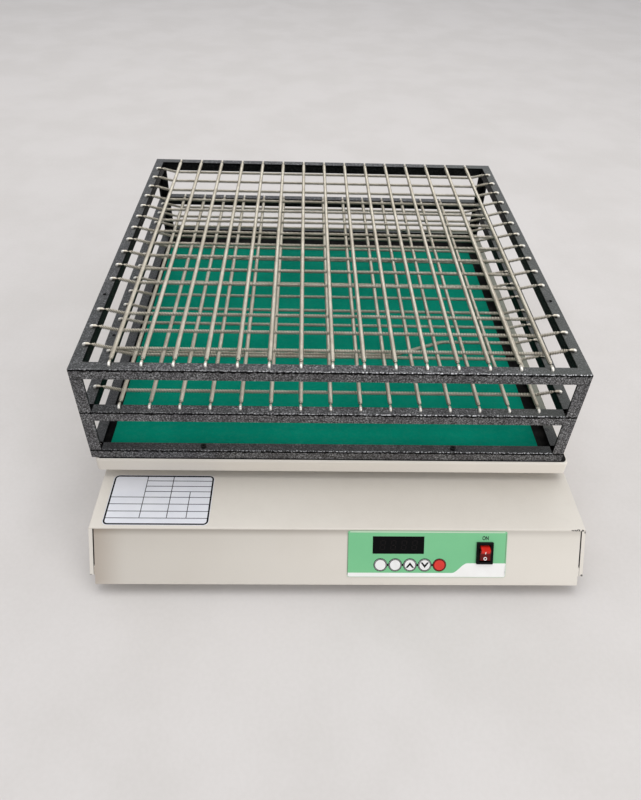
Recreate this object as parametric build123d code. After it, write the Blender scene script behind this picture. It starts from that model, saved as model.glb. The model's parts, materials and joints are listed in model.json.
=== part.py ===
from build123d import *
from math import cos, hypot, radians, sin, sqrt
import os

# A laboratory orbital shaker: a low steel base with an inclined control panel, a tray that runs in
# a small circle above it, and a rack of stretched springs on the tray. Sizes are in millimetres,
# +X is to the right, +Y to the back and +Z up. The origin is the middle of the base's footprint,
# on the bench.

# Rack of square tube and angle, which sets the width of all that is under it
rack_size = 450.0
rack_shift_x = -5.1       # the rack is screwed down a little left of the tray's middle
tube_size = 11.0          # the top and middle frames' square tube
tube_wall = 1.5
tube_round = 0.8
angle_thickness = 2.0     # the posts' and the bottom rails' angle
rail_leg = 10.0
post_leg = 11.0
top_level = 107.0         # the tubes' top faces, above the liner
middle_level = 58.0
edge_round = 0.5
rack_screw_span = 238.0
rack_screw_inset = 5.5
rack_screw_radius = 1.5
rack_nut = 2.4

# Tray, liner and mat
tray_margin = 2.25        # the tray is this much larger than the rack on each side
tray_width = rack_size + 2 * tray_margin
tray_gap = 11.0           # between the cover and the tray's rim
tray_rim = 14.0
tray_corner = 4.0
tray_edge = 2.0
liner_thickness = 1.0
liner_inset = 0.8
mat_side_gap = 6.5        # between the mat and the bottom rails, with the mat in the middle
mat_end_gap = 14.5
mat_width = rack_size - 2 * (rail_leg + mat_side_gap)
mat_depth = rack_size - 2 * (rail_leg + mat_end_gap)
mat_thickness = 2.0
mat_shift_x = -2.0        # from the middle of the rack
mat_shift_y = -13.0
mat_corner = 3.0

# Base enclosure
base_margin = 0.75        # the base is this much wider than the tray on each side
front_deck = 51.75        # the flat cover in front of the tray, with the tray in mid circle
rear_deck = 20.75
panel_run = 29.0          # how far the front panel slopes forward
base_width = tray_width + 2 * base_margin
base_depth = panel_run + front_deck + tray_width + rear_deck
body_height = 45.5
sheet = 1.5
cheek_strip = 3.4         # the cover's narrow return beside the front panel
cheek_slot = 1.2
cheek_rise = 7.5          # the cover's side walls end this far above the pan's underside
slot_length = 36.0
rest_flange = 12.0        # the pan's inward flanges that carry the cover
pan_lip = 24.0
lip_clearance = 0.3
bend_radius = 1.2
cover_screw_count = 3
cover_screw_inset = 70.0
cover_screw_radius = 2.0
cover_screw_height = 28.0
cover_screw_length = 8.0

# Feet
foot_height = 12.0
foot_radius = 16.0
foot_taper = 2.0
foot_inset_x = 40.0
foot_inset_y = 45.0
foot_screw_radius = 2.5
foot_recess_radius = 5.5
foot_recess = 6.0

# Orbit
axis_y = (panel_run + front_deck - rear_deck) / 2
orbit_radius = 10.0
park_angle = 116.7        # where the tray stands in its circle, in degrees from +X

# Stretched springs
spring_count = 15
spring_margin = 34.25     # from the rack's outer face to the middle of the first spring
spring_pitch = (rack_size - 2 * spring_margin) / (spring_count - 1)
spring_radius = 1.9
wire_radius = 1.0
hook_inset = 6.0          # from the rack's outer face to the row of holes
hook_hole_radius = 1.6
hook_depth = 3.5          # how far a hook reaches below the tube's top face
hook_bend = 1.3
hook_rest = 0.1           # between a hook's wire and the tube's top face
layer_gap = 0.5           # between the long springs and the cross springs under them
cross_drop = 2 * spring_radius + layer_gap
body_gap = 0.8            # from the tube's inner face to a spring's round body
wire_root = 1.5           # how far the wire reaches into the body
spring_bend = 20.0
missing_top_cross = 3     # this cross spring of the top level is taken out
strayed_cross = 3         # this one of the middle level lies against its neighbour on the left
stray_start = 118.0       # where it leaves its own line, from the middle of the rack
stray_end = 66.0

# Drive
running = 0.03            # radial clearance of a shaft in its bearing
seat = 0.02               # radial clearance of a bearing in its seat
shaft_radius = 7.5
bearing_radius = 17.5
bearing_width = 11.0
housing_flange_radius = 44.0
housing_flange = 5.0
housing_wall = 7.5
housing_height = 26.0
housing_floor = 2.0
housing_screw_circle = 36.0
housing_screw_radius = 2.5
shaft_gap = 0.3           # between faces that turn past each other
pulley_radius = 64.0
pulley_width = 10.0
pulley_rim = 5.0
pulley_web = 4.0
pulley_hub_radius = 18.0
pulley_hole_radius = 11.0
pulley_hole_count = 6
hub_neck_radius = 11.0
cover_shaft_hole = 18.0
hub_lift = 2.0            # the turning discs run this far above the cover
hub_radius = 40.0
hub_step_radius = 24.0
hub_thickness = 7.0
weight_radius = 78.0
weight_angle = 130.0
weight_screw_circle = 32.0
weight_screw_radius = 2.5
weight_recess = 1.6

# Motor, belt
motor_distance = 123.0
motor_pulley_radius = 20.0
motor_flange_radius = 24.0
motor_flange = 1.0
belt_height = 8.0
belt_thickness = 2.5
belt_gap = 0.3
bracket_size = 96.0
bracket_thickness = 3.0
motor_screw_circle = 26.0
motor_screw_radius = 2.0
stator_flange_radius = 32.0
stator_flange = 3.0
stator_radius = 33.0
stator_height = 12.0
stator_teeth = 12
rotor_radius = 38.0
rotor_wall = 3.0
rotor_height = 16.0
rotor_vent_circle = 22.0
rotor_vent_radius = 5.0
rotor_vent_count = 6
motor_shaft_radius = 4.0
stator_tube_wall = 4.0

# Idler cranks that carry the tray's corners
idler_inset = 62.25       # from the tray's edge in mid circle to the crank's shaft
idler_span = tray_width - 2 * idler_inset
corner_names = ["front_left", "front_right", "back_left", "back_right"]
idler_flange_radius = 30.0
idler_flange = 4.0
idler_shaft_radius = 6.0
idler_bearing_radius = 14.0
idler_bearing_width = 8.0
idler_wall = 5.0
idler_head_gap = 2.0      # between the idler column and the cover
idler_disc_radius = 22.0
idler_disc = 6.0
idler_pin_radius = 4.0
idler_pin_clearance = 0.25
cup_bearing_radius = 11.0
cup_bearing_width = 7.0
cup_wall = 4.0
cup_flange_radius = 20.0
cup_flange = 2.0
cover_idler_hole = 12.0

# Carrier plate under the tray
carrier_edge = 18.0       # from the idler pins to the plate's edge
carrier_size = idler_span + 2 * carrier_edge
carrier_thickness = 3.0
carrier_corner = 20.0
carrier_hole_radius = 25.0
carrier_hole_reach = 95.0
centre_flange_radius = 36.0
centre_flange = 3.0
centre_wall = 5.5
tray_screw_radius = 2.5
tray_nut = 3.2
tray_screw_inset = 30.0   # the corner screws, inwards of the idler pins
tray_screw_edge = 15.0    # the other screws, from the plate's edge
tray_screw_span = idler_span - 2 * tray_screw_inset
tray_screw_reach = carrier_size - 2 * tray_screw_edge
screw_clearance = 0.2

# Control panel, measured from the panel's top edge down the slope
overlay_left = 7.7        # from the middle of the base
overlay_top = 0.5
overlay_width = 147.3
overlay_height = 44.2
overlay_thickness = 0.5
overlay_corner = 2.0
window_left = 23.1        # from the overlay's left and top edges
window_top = 5.2
window_width = 47.3
window_height = 16.5
window_back = 1.0
window_proud = 0.6
panel_clearance = 0.15
key_first = 30.5
key_down = 32.5
key_pitch = 13.7
key_radius = 5.75
key_clearance = 0.2
key_lift = 0.45
key_thickness = 0.5
key_stem_radius = 1.7
key_stem = 6.0
key_names = ["mode_key", "set_key", "up_key", "down_key", "start_stop_key"]
switch_size = 6.4
switch_height = 3.6
switch_bore = 2.5
board_gap = 8.1           # from the panel's face to the control board
board_thickness = 1.6
board_left = 2.3
board_width = 106.0
board_top = 3.5
board_height = 38.0
standoff_radius = 2.5
standoff_inset = 3.5
display_width = 46.0
display_height = 15.5
display_gap = 0.1
rocker_left = 127.0
rocker_down = 20.6
rocker_width = 10.2
rocker_length = 14.6
rocker_tilt = 12.0
rocker_gap = 0.2
rocker_pivot = 1.0        # the pivot, below the panel's face
rocker_pin_radius = 1.0
rocker_pin_reach = 1.3
rocker_play = 0.7         # at the rocker's ends, for its swing
bezel_body_width = 13.4
bezel_body_length = 19.2
bezel_body_depth = 13.0
bezel_width = 15.6
bezel_length = 21.0
bezel_rim = 2.0
cavity_depth = 7.0

# Rear inlet, power supply and motor drive board
inlet_x = 140.0
inlet_z = 35.0
inlet_width = 27.0
inlet_height = 20.0
inlet_depth = 20.0
inlet_flange_width = 50.0
inlet_flange_height = 24.0
inlet_flange = 2.5
inlet_cavity = 16.0
inlet_wall = 1.6
inlet_screw_span = 40.0
inlet_screw_radius = 1.5
blade_length = 12.0
blade_width = 2.0
blade_height = 4.0
blade_pitch = 7.0
blade_drop = 2.0
supply_width = 129.0
supply_depth = 97.0
supply_height = 30.0
supply_wall = 1.2
supply_gap = 145.0        # from the drive shaft to the supply's middle
supply_board_lift = 5.0
supply_block_width = 26.0
supply_block_depth = 24.0
supply_block_height = 18.0
supply_block_pitch = 35.0
supply_block_back = 60.0  # from the case's open end to the blocks' middles
terminal_count = 7
terminal_pitch = 9.0
terminal_slot = 6.4
drive_board_width = 100.0
drive_board_depth = 66.0
drive_board_x = -62.0
drive_board_setback = 17.0
drive_board_lift = 6.0
drive_board_pillar = 3.0
drive_board_inset = 5.0
heat_sink_size = 36.0
heat_sink_base = 3.0
heat_sink_height = 13.0
heat_sink_fins = 7
heat_sink_fin = 1.5
heat_sink_inset_x = 6.0   # from the drive board's left and front edges
heat_sink_inset_y = 14.0
capacitor_radius = 7.0
capacitor_height = 18.0
capacitor_pitch = 18.0
capacitor_inset_x = 22.0  # from the board's right edge
capacitor_inset_y = 40.0
connector_width = 36.0
connector_depth = 10.0
connector_height = 9.0
connector_inset_x = 10.0
connector_inset_y = 8.0

# Blank label on the cover
label_width = 97.0
label_depth = 60.5
label_thickness = 0.25
label_left = 11.0
label_front = 3.0
label_corner = 5.0

# Levels
pan_bottom = foot_height
floor_top = pan_bottom + sheet
cover_top = pan_bottom + body_height
cover_under = cover_top - sheet
tray_top = cover_top + tray_gap + tray_rim
tray_under = tray_top - sheet
liner_top = tray_top + liner_thickness
carrier_under = tray_under - carrier_thickness
housing_top = floor_top + housing_height
pulley_bottom = housing_top + shaft_gap
pulley_top = pulley_bottom + pulley_width
hub_bottom = cover_top + hub_lift
hub_top = hub_bottom + hub_thickness
hub_step = hub_bottom + hub_thickness / 2
weight_top = hub_top - shaft_gap
half_width = base_width / 2
toe = -base_depth / 2
rear = base_depth / 2
front_edge = toe + panel_run
park_x = orbit_radius * cos(radians(park_angle))
park_y = orbit_radius * sin(radians(park_angle))
tray_x = park_x
tray_y = axis_y + park_y
rack_x = tray_x + rack_shift_x
rack_y = tray_y
motor_y = axis_y - motor_distance
pan_half = half_width - cheek_strip - cheek_slot
lip_half = half_width - sheet - lip_clearance

parts = {}


def block(x0, x1, y0, y1, z0, z1):
    """A box between two corners."""
    middle = ((x0 + x1) / 2, (y0 + y1) / 2, (z0 + z1) / 2)
    return Pos(*middle) * Box(abs(x1 - x0), abs(y1 - y0), abs(z1 - z0))


def rod(x, y, z0, z1, radius):
    """An upright cylinder from z0 to z1."""
    return Pos(x, y, (z0 + z1) / 2) * Cylinder(radius, z1 - z0)


def pipe(x, y, z0, z1, outer, inner):
    """An upright cylinder with a bore all the way through."""
    return rod(x, y, z0, z1, outer) - rod(x, y, z0 - 1, z1 + 1, inner)


def hexagon(x, y, z0, z1, across_flats):
    """An upright hexagonal bar, by its width across flats."""
    return Pos(x, y, z0) * extrude(RegularPolygon(across_flats / sqrt(3), 6), amount=z1 - z0)


def side_prism(points, x0, x1):
    """A prism along X whose section is given as (y, z) points."""
    section = make_face(Polyline([(0, y, z) for y, z in points], close=True))
    return Pos(x0, 0, 0) * extrude(section, amount=x1 - x0, dir=(1, 0, 0))


def on_circle(x, y, radius, angles):
    """Places on a circle, by their angles in degrees."""
    return [(x + radius * cos(radians(a)), y + radius * sin(radians(a))) for a in angles]


def group(solids):
    """Separate solids that share one node."""
    return Compound(children=list(solids))


def round_plate(width, depth, thickness, corner):
    """A plate on the XY plane with rounded corners, centred in X and Y, from z = 0 up."""
    return extrude(RectangleRounded(width, depth, corner), amount=thickness)


# The front panel's own frame: x to the right, y up the slope, z out of the panel.
panel_drop = cover_under - pan_bottom
panel_slant = hypot(panel_run, panel_drop)
panel_normal = (0, -panel_drop / panel_slant, panel_run / panel_slant)
panel_plane = Plane(origin=(0, front_edge, cover_under), x_dir=(1, 0, 0), z_dir=panel_normal)
panel_depth = sheet * panel_slant / panel_drop


def on_panel(x, down, out):
    """The place on the front panel at x, a distance down the slope and out of the face."""
    return panel_plane.location * Pos(x, -down, out)


def panel_y(z):
    """The y of the panel's outer face at a height."""
    return front_edge - panel_run * (cover_under - z) / panel_drop


def screw(x, y, z_head, head_radius, head_height, shank_radius, length, socket):
    """A cap screw that points down, with its head's underside at z_head."""
    head = rod(x, y, z_head, z_head + head_height, head_radius)
    shank = rod(x, y, z_head - length, z_head, shank_radius)
    recess = hexagon(x, y, z_head + head_height * 0.4, z_head + head_height + 1, socket)
    return head + shank - recess


def bearing(x, y, z0, width, outer, inner):
    """A ball bearing as one ring, with its shields set back."""
    ring = pipe(x, y, z0, z0 + width, outer, inner)
    shield_outer = outer - (outer - inner) * 0.25
    shield_inner = inner + (outer - inner) * 0.25
    groove = pipe(x, y, z0 + width - 0.4, z0 + width + 1, shield_outer, shield_inner)
    lower_groove = pipe(x, y, z0 - 1, z0 + 0.4, shield_outer, shield_inner)
    return ring - groove - lower_groove


# Places that more than one piece uses
foot_places = [(sx * (half_width - foot_inset_x), sy * (base_depth / 2 - foot_inset_y))
               for sx in (-1, 1) for sy in (-1, 1)]
idler_places = [(sx * idler_span / 2, axis_y + sy * idler_span / 2) for sy in (-1, 1) for sx in (-1, 1)]
housing_screw_places = on_circle(0, axis_y, housing_screw_circle, (45, 135, 225, 315))
motor_screw_places = on_circle(0, motor_y, motor_screw_circle, (0, 90, 180, 270))
weight_screw_angles = [park_angle + 180 + turn for turn in (-40, 0, 40)]
weight_screw_places = on_circle(0, axis_y, weight_screw_circle, weight_screw_angles)
tray_screw_places = [(tray_x + sx * tray_screw_span / 2, tray_y + sy * tray_screw_span / 2)
                     for sx in (-1, 1) for sy in (-1, 1)]
tray_screw_places += [(tray_x + sx * tray_screw_reach / 2, tray_y) for sx in (-1, 1)]
tray_screw_places += [(tray_x, tray_y + sy * tray_screw_reach / 2) for sy in (-1, 1)]
rack_screw_places = [(rack_x + sx * rack_screw_span / 2, rack_y + sy * (rack_size / 2 - rack_screw_inset))
                     for sx in (-1, 1) for sy in (-1, 1)]
cover_screw_step = (base_depth - 2 * cover_screw_inset) / (cover_screw_count - 1)
cover_screw_rows = [toe + cover_screw_inset + cover_screw_step * i for i in range(cover_screw_count)]
key_places = [(overlay_left + key_first + key_pitch * i, overlay_top + key_down)
              for i in range(len(key_names))]
window_x = overlay_left + window_left + window_width / 2
window_down = overlay_top + window_top + window_height / 2
rocker_x = overlay_left + rocker_left
rocker_y = overlay_top + rocker_down
board_x = overlay_left + board_left + board_width / 2
board_down = overlay_top + board_top + board_height / 2
standoff_reach_x = board_width / 2 - standoff_inset
standoff_reach_y = board_height / 2 - standoff_inset
standoff_places = [(board_x + sx * standoff_reach_x, board_down + sy * standoff_reach_y)
                   for sx in (-1, 1) for sy in (-1, 1)]
inlet_screw_places = [inlet_x + sx * inlet_screw_span / 2 for sx in (-1, 1)]
blade_places = [(-blade_pitch, -blade_drop), (0, blade_drop), (blade_pitch, -blade_drop)]


def panel_cutouts(depth, grow):
    """The window and rocker openings, through a layer of the panel."""
    window = Box(window_width + 2 * grow, window_height + 2 * grow, depth)
    rocker = Box(bezel_body_width + 2 * grow, bezel_body_length + 2 * grow, depth)
    return on_panel(window_x, window_down, 0) * window + on_panel(rocker_x, rocker_y, 0) * rocker


def make_base_pan():
    """The folded lower pan: floor, inclined front panel, rear wall and side lips."""
    pan = block(-pan_half, pan_half, toe + panel_depth / 2, front_edge, pan_bottom, floor_top)
    pan += block(-lip_half, lip_half, front_edge, rear, pan_bottom, floor_top)
    pan += side_prism([(front_edge, cover_under), (toe, pan_bottom), (toe + panel_depth, pan_bottom),
                       (front_edge + panel_depth, cover_under)], -pan_half, pan_half)
    pan += block(-pan_half, pan_half, front_edge, front_edge + rest_flange, cover_under - sheet, cover_under)
    pan += block(-lip_half, lip_half, rear - sheet, rear, pan_bottom, cover_under)
    pan += block(-lip_half, lip_half, rear - rest_flange, rear, cover_under - sheet, cover_under)
    low = pan_bottom + cheek_rise
    ear = [(panel_y(low), low), (panel_y(low) + panel_depth, low),
           (panel_y(slot_end) + panel_depth, slot_end), (panel_y(slot_end), slot_end)]
    for side in (-1, 1):
        pan += block(side * lip_half, side * (lip_half - sheet), front_edge, rear,
                     pan_bottom, pan_bottom + pan_lip)
        pan += side_prism(ear, side * pan_half, side * (half_width - cheek_strip - lip_clearance))
    pan -= panel_cutouts(20, panel_clearance)
    for x, down in key_places:
        pan -= on_panel(x, down, 0) * Cylinder(key_stem_radius + 0.5, 20)
    for x, y in foot_places:
        pan -= rod(x, y, pan_bottom - 1, floor_top + 1, foot_screw_radius + screw_clearance)
    for x, y in housing_screw_places:
        pan -= rod(x, y, pan_bottom - 1, floor_top + 1, housing_screw_radius + screw_clearance)
    for side in (-1, 1):
        for y in cover_screw_rows:
            place = Pos(side * lip_half, y, cover_screw_height) * Rot(0, 90, 0)
            pan -= place * Cylinder(cover_screw_radius + screw_clearance, 20)
    half = inlet_width / 2 + lip_clearance
    rise = inlet_height / 2 + lip_clearance
    pan -= block(inlet_x - half, inlet_x + half, rear - 5, rear + 5, inlet_z - rise, inlet_z + rise)
    for x in inlet_screw_places:
        pan -= Pos(x, rear, inlet_z) * Rot(90, 0, 0) * Cylinder(inlet_screw_radius + screw_clearance, 10)
    return pan


def make_top_cover():
    """The folded cover: flat top, side walls and the narrow strips beside the front panel."""
    cover = block(-half_width, half_width, front_edge, rear, cover_under, cover_top)
    cover = fillet(cover.faces().sort_by(Axis.Z)[-1].outer_wire().edges(), bend_radius)
    low = pan_bottom + cheek_rise
    wall = [(front_edge, cover_under), (rear, cover_under), (rear, low), (panel_y(low), low)]
    strip = [(front_edge, cover_under), (panel_y(low), low), (panel_y(low) + panel_depth, low),
             (front_edge + panel_depth, cover_under)]
    for side in (-1, 1):
        cover += side_prism(wall, side * half_width, side * (half_width - sheet))
        cover += side_prism(strip, side * half_width, side * (half_width - cheek_strip))
    cover -= rod(0, axis_y, cover_under - 1, cover_top + 1, cover_shaft_hole)
    for x, y in idler_places:
        cover -= rod(x, y, cover_under - 1, cover_top + 1, cover_idler_hole)
    for side in (-1, 1):
        for y in cover_screw_rows:
            hole = Pos(side * half_width, y, cover_screw_height) * Rot(0, 90, 0)
            cover -= hole * Cylinder(cover_screw_radius + screw_clearance, 4 * sheet)
    return cover


def make_cover_screws():
    """Low-headed screws in the cover's side walls."""
    screws = []
    for side in (-1, 1):
        for y in cover_screw_rows:
            place = Pos(side * half_width, y, cover_screw_height) * Rot(0, side * 90, 0)
            head = place * Pos(0, 0, 0.6) * Cylinder(cover_screw_radius * 2, 1.2)
            shank = Cylinder(cover_screw_radius, cover_screw_length)
            shank = place * Pos(0, 0, -cover_screw_length / 2) * shank
            cross = place * Pos(0, 0, 1.2) * (Box(0.8, 4, 1) + Box(4, 0.8, 1))
            screws.append(head + shank - cross)
    return group(screws)


def make_feet():
    """Tapered rubber feet with a recess for their screws."""
    feet = []
    for x, y in foot_places:
        foot = Pos(x, y, foot_height / 2) * Cone(foot_radius - foot_taper, foot_radius, foot_height)
        foot = fillet(foot.edges().sort_by(Axis.Z)[0], 1.0)
        foot -= rod(x, y, -1, foot_recess, foot_recess_radius)
        foot -= rod(x, y, 0, foot_height + 1, foot_screw_radius + screw_clearance)
        feet.append(foot)
    return group(feet)


def make_foot_screws():
    """A screw up through each foot, with its nut on the pan's floor."""
    pieces = []
    nut_height = 4.0
    for x, y in foot_places:
        head = rod(x, y, foot_recess - 3, foot_recess, foot_screw_radius * 1.8)
        shank = rod(x, y, foot_recess, floor_top + nut_height + 1.5, foot_screw_radius)
        pieces.append(head + shank)
        nut = hexagon(x, y, floor_top, floor_top + nut_height, foot_screw_radius * 3.2)
        pieces.append(nut - rod(x, y, floor_top - 1, floor_top + nut_height + 1, foot_screw_radius + seat))
    return group(pieces)


def make_label():
    """A blank card label on the cover's left front corner."""
    x = -half_width + label_left + label_width / 2
    y = front_edge + label_front + label_depth / 2
    return Pos(x, y, cover_top) * round_plate(label_width, label_depth, label_thickness, label_corner)


def make_overlay():
    """The film over the controls, with its openings."""
    x = overlay_left + overlay_width / 2
    film = round_plate(overlay_width, overlay_height, overlay_thickness, overlay_corner)
    film = on_panel(x, overlay_top + overlay_height / 2, 0) * film
    film -= panel_cutouts(20, panel_clearance)
    for x, down in key_places:
        film -= on_panel(x, down, 0) * Cylinder(key_radius + key_clearance, 20)
    return film


def make_window():
    """The dark window in front of the display."""
    plate = round_plate(window_width, window_height, window_back + window_proud, 0.8)
    return on_panel(window_x, window_down, -window_back) * plate


def make_display():
    """The display module between the control board and the window."""
    depth = board_gap - window_back - display_gap
    body = on_panel(window_x, window_down, -board_gap + depth / 2) * Box(display_width, display_height, depth)
    return body


def make_control_board():
    """The circuit board behind the panel, with its chips and connector."""
    board = on_panel(board_x, board_down, -board_gap - board_thickness / 2)
    board = board * Box(board_width, board_height, board_thickness)
    back = -board_gap - board_thickness
    for x, down, width, height, depth in ((-30, -8, 12, 12, 1.8), (-8, -8, 8, 10, 2.2), (18, -10, 10, 6, 2.5),
                                          (38, 4, 6, 16, 5.0)):
        chip = on_panel(board_x + x, board_down + down, back - depth / 2 + 0.01) * Box(width, height, depth)
        board += chip
    for x, down in standoff_places:
        board -= on_panel(x, down, -board_gap) * Cylinder(1.2, 10)
    return board


def make_standoffs():
    """Threaded standoffs that hold the board behind the panel."""
    length = board_gap - sheet
    return group([on_panel(x, down, -sheet - length / 2) * Cylinder(standoff_radius, length)
                  for x, down in standoff_places])


def make_key_switches():
    """The tact switches under the keys."""
    switches = []
    for x, down in key_places:
        body = Box(switch_size, switch_size, switch_height)
        body -= Pos(0, 0, switch_height / 2) * Cylinder(key_stem_radius + key_clearance, 2 * switch_bore)
        switches.append(on_panel(x, down, -board_gap + switch_height / 2) * body)
    return group(switches)


def make_key(x, down):
    """A round key cap on the stem that presses its switch."""
    cap = on_panel(x, down, key_lift + key_thickness / 2) * Cylinder(key_radius, key_thickness)
    cap = fillet(cap.edges().filter_by(GeomType.CIRCLE).sort_by(Axis.Z)[-1], 0.15)
    length = key_lift + key_stem
    return cap + on_panel(x, down, key_lift - length / 2) * Cylinder(key_stem_radius, length)


def make_bezel():
    """The rocker switch's housing with its frame on the panel."""
    frame = round_plate(bezel_width, bezel_length, bezel_rim, 0.8)
    frame = chamfer(frame.faces().sort_by(Axis.Z)[-1].outer_wire().edges(), 0.6)
    frame = on_panel(rocker_x, rocker_y, overlay_thickness) * frame
    depth = bezel_body_depth + overlay_thickness
    body = Box(bezel_body_width, bezel_body_length, depth)
    body = on_panel(rocker_x, rocker_y, overlay_thickness - depth / 2) * body
    opening_width = rocker_width + 2 * rocker_gap
    opening_length = rocker_length + 2 * rocker_play
    opening_height = cavity_depth + overlay_thickness + bezel_rim
    middle = overlay_thickness + bezel_rim - opening_height / 2 + 0.5
    opening = on_panel(rocker_x, rocker_y, middle) * Box(opening_width, opening_length, opening_height + 1)
    pin_hole = on_panel(rocker_x, rocker_y, -rocker_pivot) * Rot(0, 90, 0)
    pin_hole = pin_hole * Cylinder(rocker_pin_radius + running, rocker_width + 2 * rocker_pin_reach + 0.2)
    bezel = frame + body - opening - pin_hole
    for down in (-5, 0, 5):
        tab = on_panel(rocker_x, rocker_y + down, -bezel_body_depth - 3) * Box(6.3, 0.8, 6.2)
        bezel += tab
    return bezel


def make_rocker():
    """The rocker, parked with its lower end pressed in, on its two pins."""
    half = rocker_length / 2
    profile = Polyline((-half + 2.1, 5.6), (0, 4.1), (half - 2.1, 5.6), (half, -0.5), (half / 3, -3.5),
                       (-half / 3, -3.5), (-half, -0.5), close=True)
    body = extrude(Plane.YZ * make_face(profile), amount=rocker_width / 2, both=True)
    pins = Rot(0, 90, 0) * Cylinder(rocker_pin_radius, rocker_width + 2 * rocker_pin_reach)
    return on_panel(rocker_x, rocker_y, -rocker_pivot) * Rot(rocker_tilt, 0, 0) * (body + pins)


def make_inlet():
    """The mains inlet in the rear wall, with its three blades."""
    body = block(inlet_x - inlet_width / 2, inlet_x + inlet_width / 2,
                 rear - inlet_depth, rear + inlet_flange,
                 inlet_z - inlet_height / 2, inlet_z + inlet_height / 2)
    flange = Pos(inlet_x, rear, inlet_z) * Rot(-90, 0, 0)
    flange = flange * round_plate(inlet_flange_width, inlet_flange_height, inlet_flange, 3)
    cavity = block(inlet_x - inlet_width / 2 + inlet_wall, inlet_x + inlet_width / 2 - inlet_wall,
                   rear + inlet_flange - inlet_cavity, rear + inlet_flange + 1,
                   inlet_z - inlet_height / 2 + inlet_wall, inlet_z + inlet_height / 2 - inlet_wall)
    inlet = body + flange - cavity
    floor_y = rear + inlet_flange - inlet_cavity
    for dx, dz in blade_places:
        inlet += block(inlet_x + dx - blade_width / 2, inlet_x + dx + blade_width / 2,
                       floor_y - 1, floor_y + blade_length,
                       inlet_z + dz - blade_height / 2, inlet_z + dz + blade_height / 2)
        inlet += block(inlet_x + dx - 3, inlet_x + dx + 3, rear - inlet_depth - 7, rear - inlet_depth + 1,
                       inlet_z + dz - 0.4, inlet_z + dz + 0.4)
    for x in inlet_screw_places:
        inlet -= Pos(x, rear, inlet_z) * Rot(90, 0, 0) * Cylinder(inlet_screw_radius + screw_clearance, 10)
    return inlet


def make_inlet_screws():
    """The inlet's two screws."""
    screws = []
    for x in inlet_screw_places:
        place = Pos(x, rear + inlet_flange, inlet_z) * Rot(-90, 0, 0)
        head = place * Pos(0, 0, 0.8) * Cylinder(2.8, 1.6)
        shank = place * Pos(0, 0, -4) * Cylinder(inlet_screw_radius, 8)
        slot = place * Pos(0, 0, 1.6) * (Box(0.7, 3.4, 1) + Box(3.4, 0.7, 1))
        screws.append(head + shank - slot)
    return group(screws)


def make_supply():
    """The power supply: a ventilated case with a row of terminals."""
    x0 = -supply_width / 2
    y0 = axis_y + supply_gap - supply_depth / 2 + 5
    case = block(x0, -x0, y0, y0 + supply_depth, floor_top, floor_top + supply_height)
    inner = block(x0 + supply_wall, -x0 - supply_wall, y0 - 1, y0 + supply_depth - supply_wall,
                  floor_top + supply_wall, floor_top + supply_height - supply_wall)
    case -= inner
    vent_floor = floor_top + supply_height / 2
    for i in range(10):
        for j in range(5):
            case -= rod(x0 + 20 + 9.5 * i, y0 + 30 + 11 * j, vent_floor, vent_floor + supply_height, 2.5)
    low = floor_top + supply_board_lift
    top = low + board_thickness
    case += block(x0 + supply_wall, -x0 - supply_wall, y0 + 2, y0 + supply_depth - supply_wall, low, top)
    block_y = y0 + supply_block_back - supply_block_depth / 2
    for i in (-1, 0, 1):
        x = i * supply_block_pitch - supply_block_width / 2
        case += block(x, x + supply_block_width, block_y, block_y + supply_block_depth,
                      top, top + supply_block_height)
    row = terminal_count * terminal_pitch / 2
    terminals = block(-row, row, y0 + 3, y0 + 14, top, top + 10)
    for i in range(terminal_count):
        x = (i - (terminal_count - 1) / 2) * terminal_pitch - terminal_slot / 2
        terminals -= block(x, x + terminal_slot, y0 + 2, y0 + 12, top + 4, top + 11)
    return case + terminals


def make_drive_board():
    """The motor drive board on its four pillars, with a finned heat sink."""
    left = drive_board_x - drive_board_width / 2
    right = left + drive_board_width
    y0 = front_edge + drive_board_setback
    y1 = y0 + drive_board_depth
    bottom = floor_top + drive_board_lift
    top = bottom + board_thickness
    board = block(left, right, y0, y1, bottom, top)
    for x in (left + drive_board_inset, right - drive_board_inset):
        for y in (y0 + drive_board_inset, y1 - drive_board_inset):
            board += rod(x, y, floor_top, bottom, drive_board_pillar)
    sink_x = left + heat_sink_inset_x
    sink_y = y0 + heat_sink_inset_y
    fin_low = top + heat_sink_base
    fin_top = fin_low + heat_sink_height
    fin_pitch = (heat_sink_size - heat_sink_fin) / (heat_sink_fins - 1)
    board += block(sink_x, sink_x + heat_sink_size, sink_y, sink_y + heat_sink_size, top, fin_low)
    for i in range(heat_sink_fins):
        x = sink_x + i * fin_pitch
        board += block(x, x + heat_sink_fin, sink_y, sink_y + heat_sink_size, fin_low, fin_top)
    for i in range(2):
        x = right - capacitor_inset_x - capacitor_pitch * i
        board += rod(x, y0 + capacitor_inset_y, top, top + capacitor_height, capacitor_radius)
    plug_x = right - connector_inset_x - connector_width
    plug_y = y0 + connector_inset_y
    return board + block(plug_x, plug_x + connector_width, plug_y, plug_y + connector_depth,
                         top, top + connector_height)


def make_bracket():
    """The plate that holds the motor to the floor."""
    half = bracket_size / 2
    plate = Pos(0, motor_y, floor_top) * round_plate(bracket_size, bracket_size, bracket_thickness, 6)
    top = floor_top + bracket_thickness
    for x, y in motor_screw_places:
        plate -= rod(x, y, floor_top - 1, top + 1, motor_screw_radius + screw_clearance)
    for sx in (-1, 1):
        for sy in (-1, 1):
            x = sx * (half - 8)
            y = motor_y + sy * (half - 8)
            plate += rod(x, y, top, top + 3, 4)
    return plate


stator_bottom = floor_top + bracket_thickness
stator_core = stator_bottom + stator_flange + 1
rotor_top = stator_core + rotor_height + 0.5
motor_shaft_top = pulley_top + shaft_gap


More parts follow.
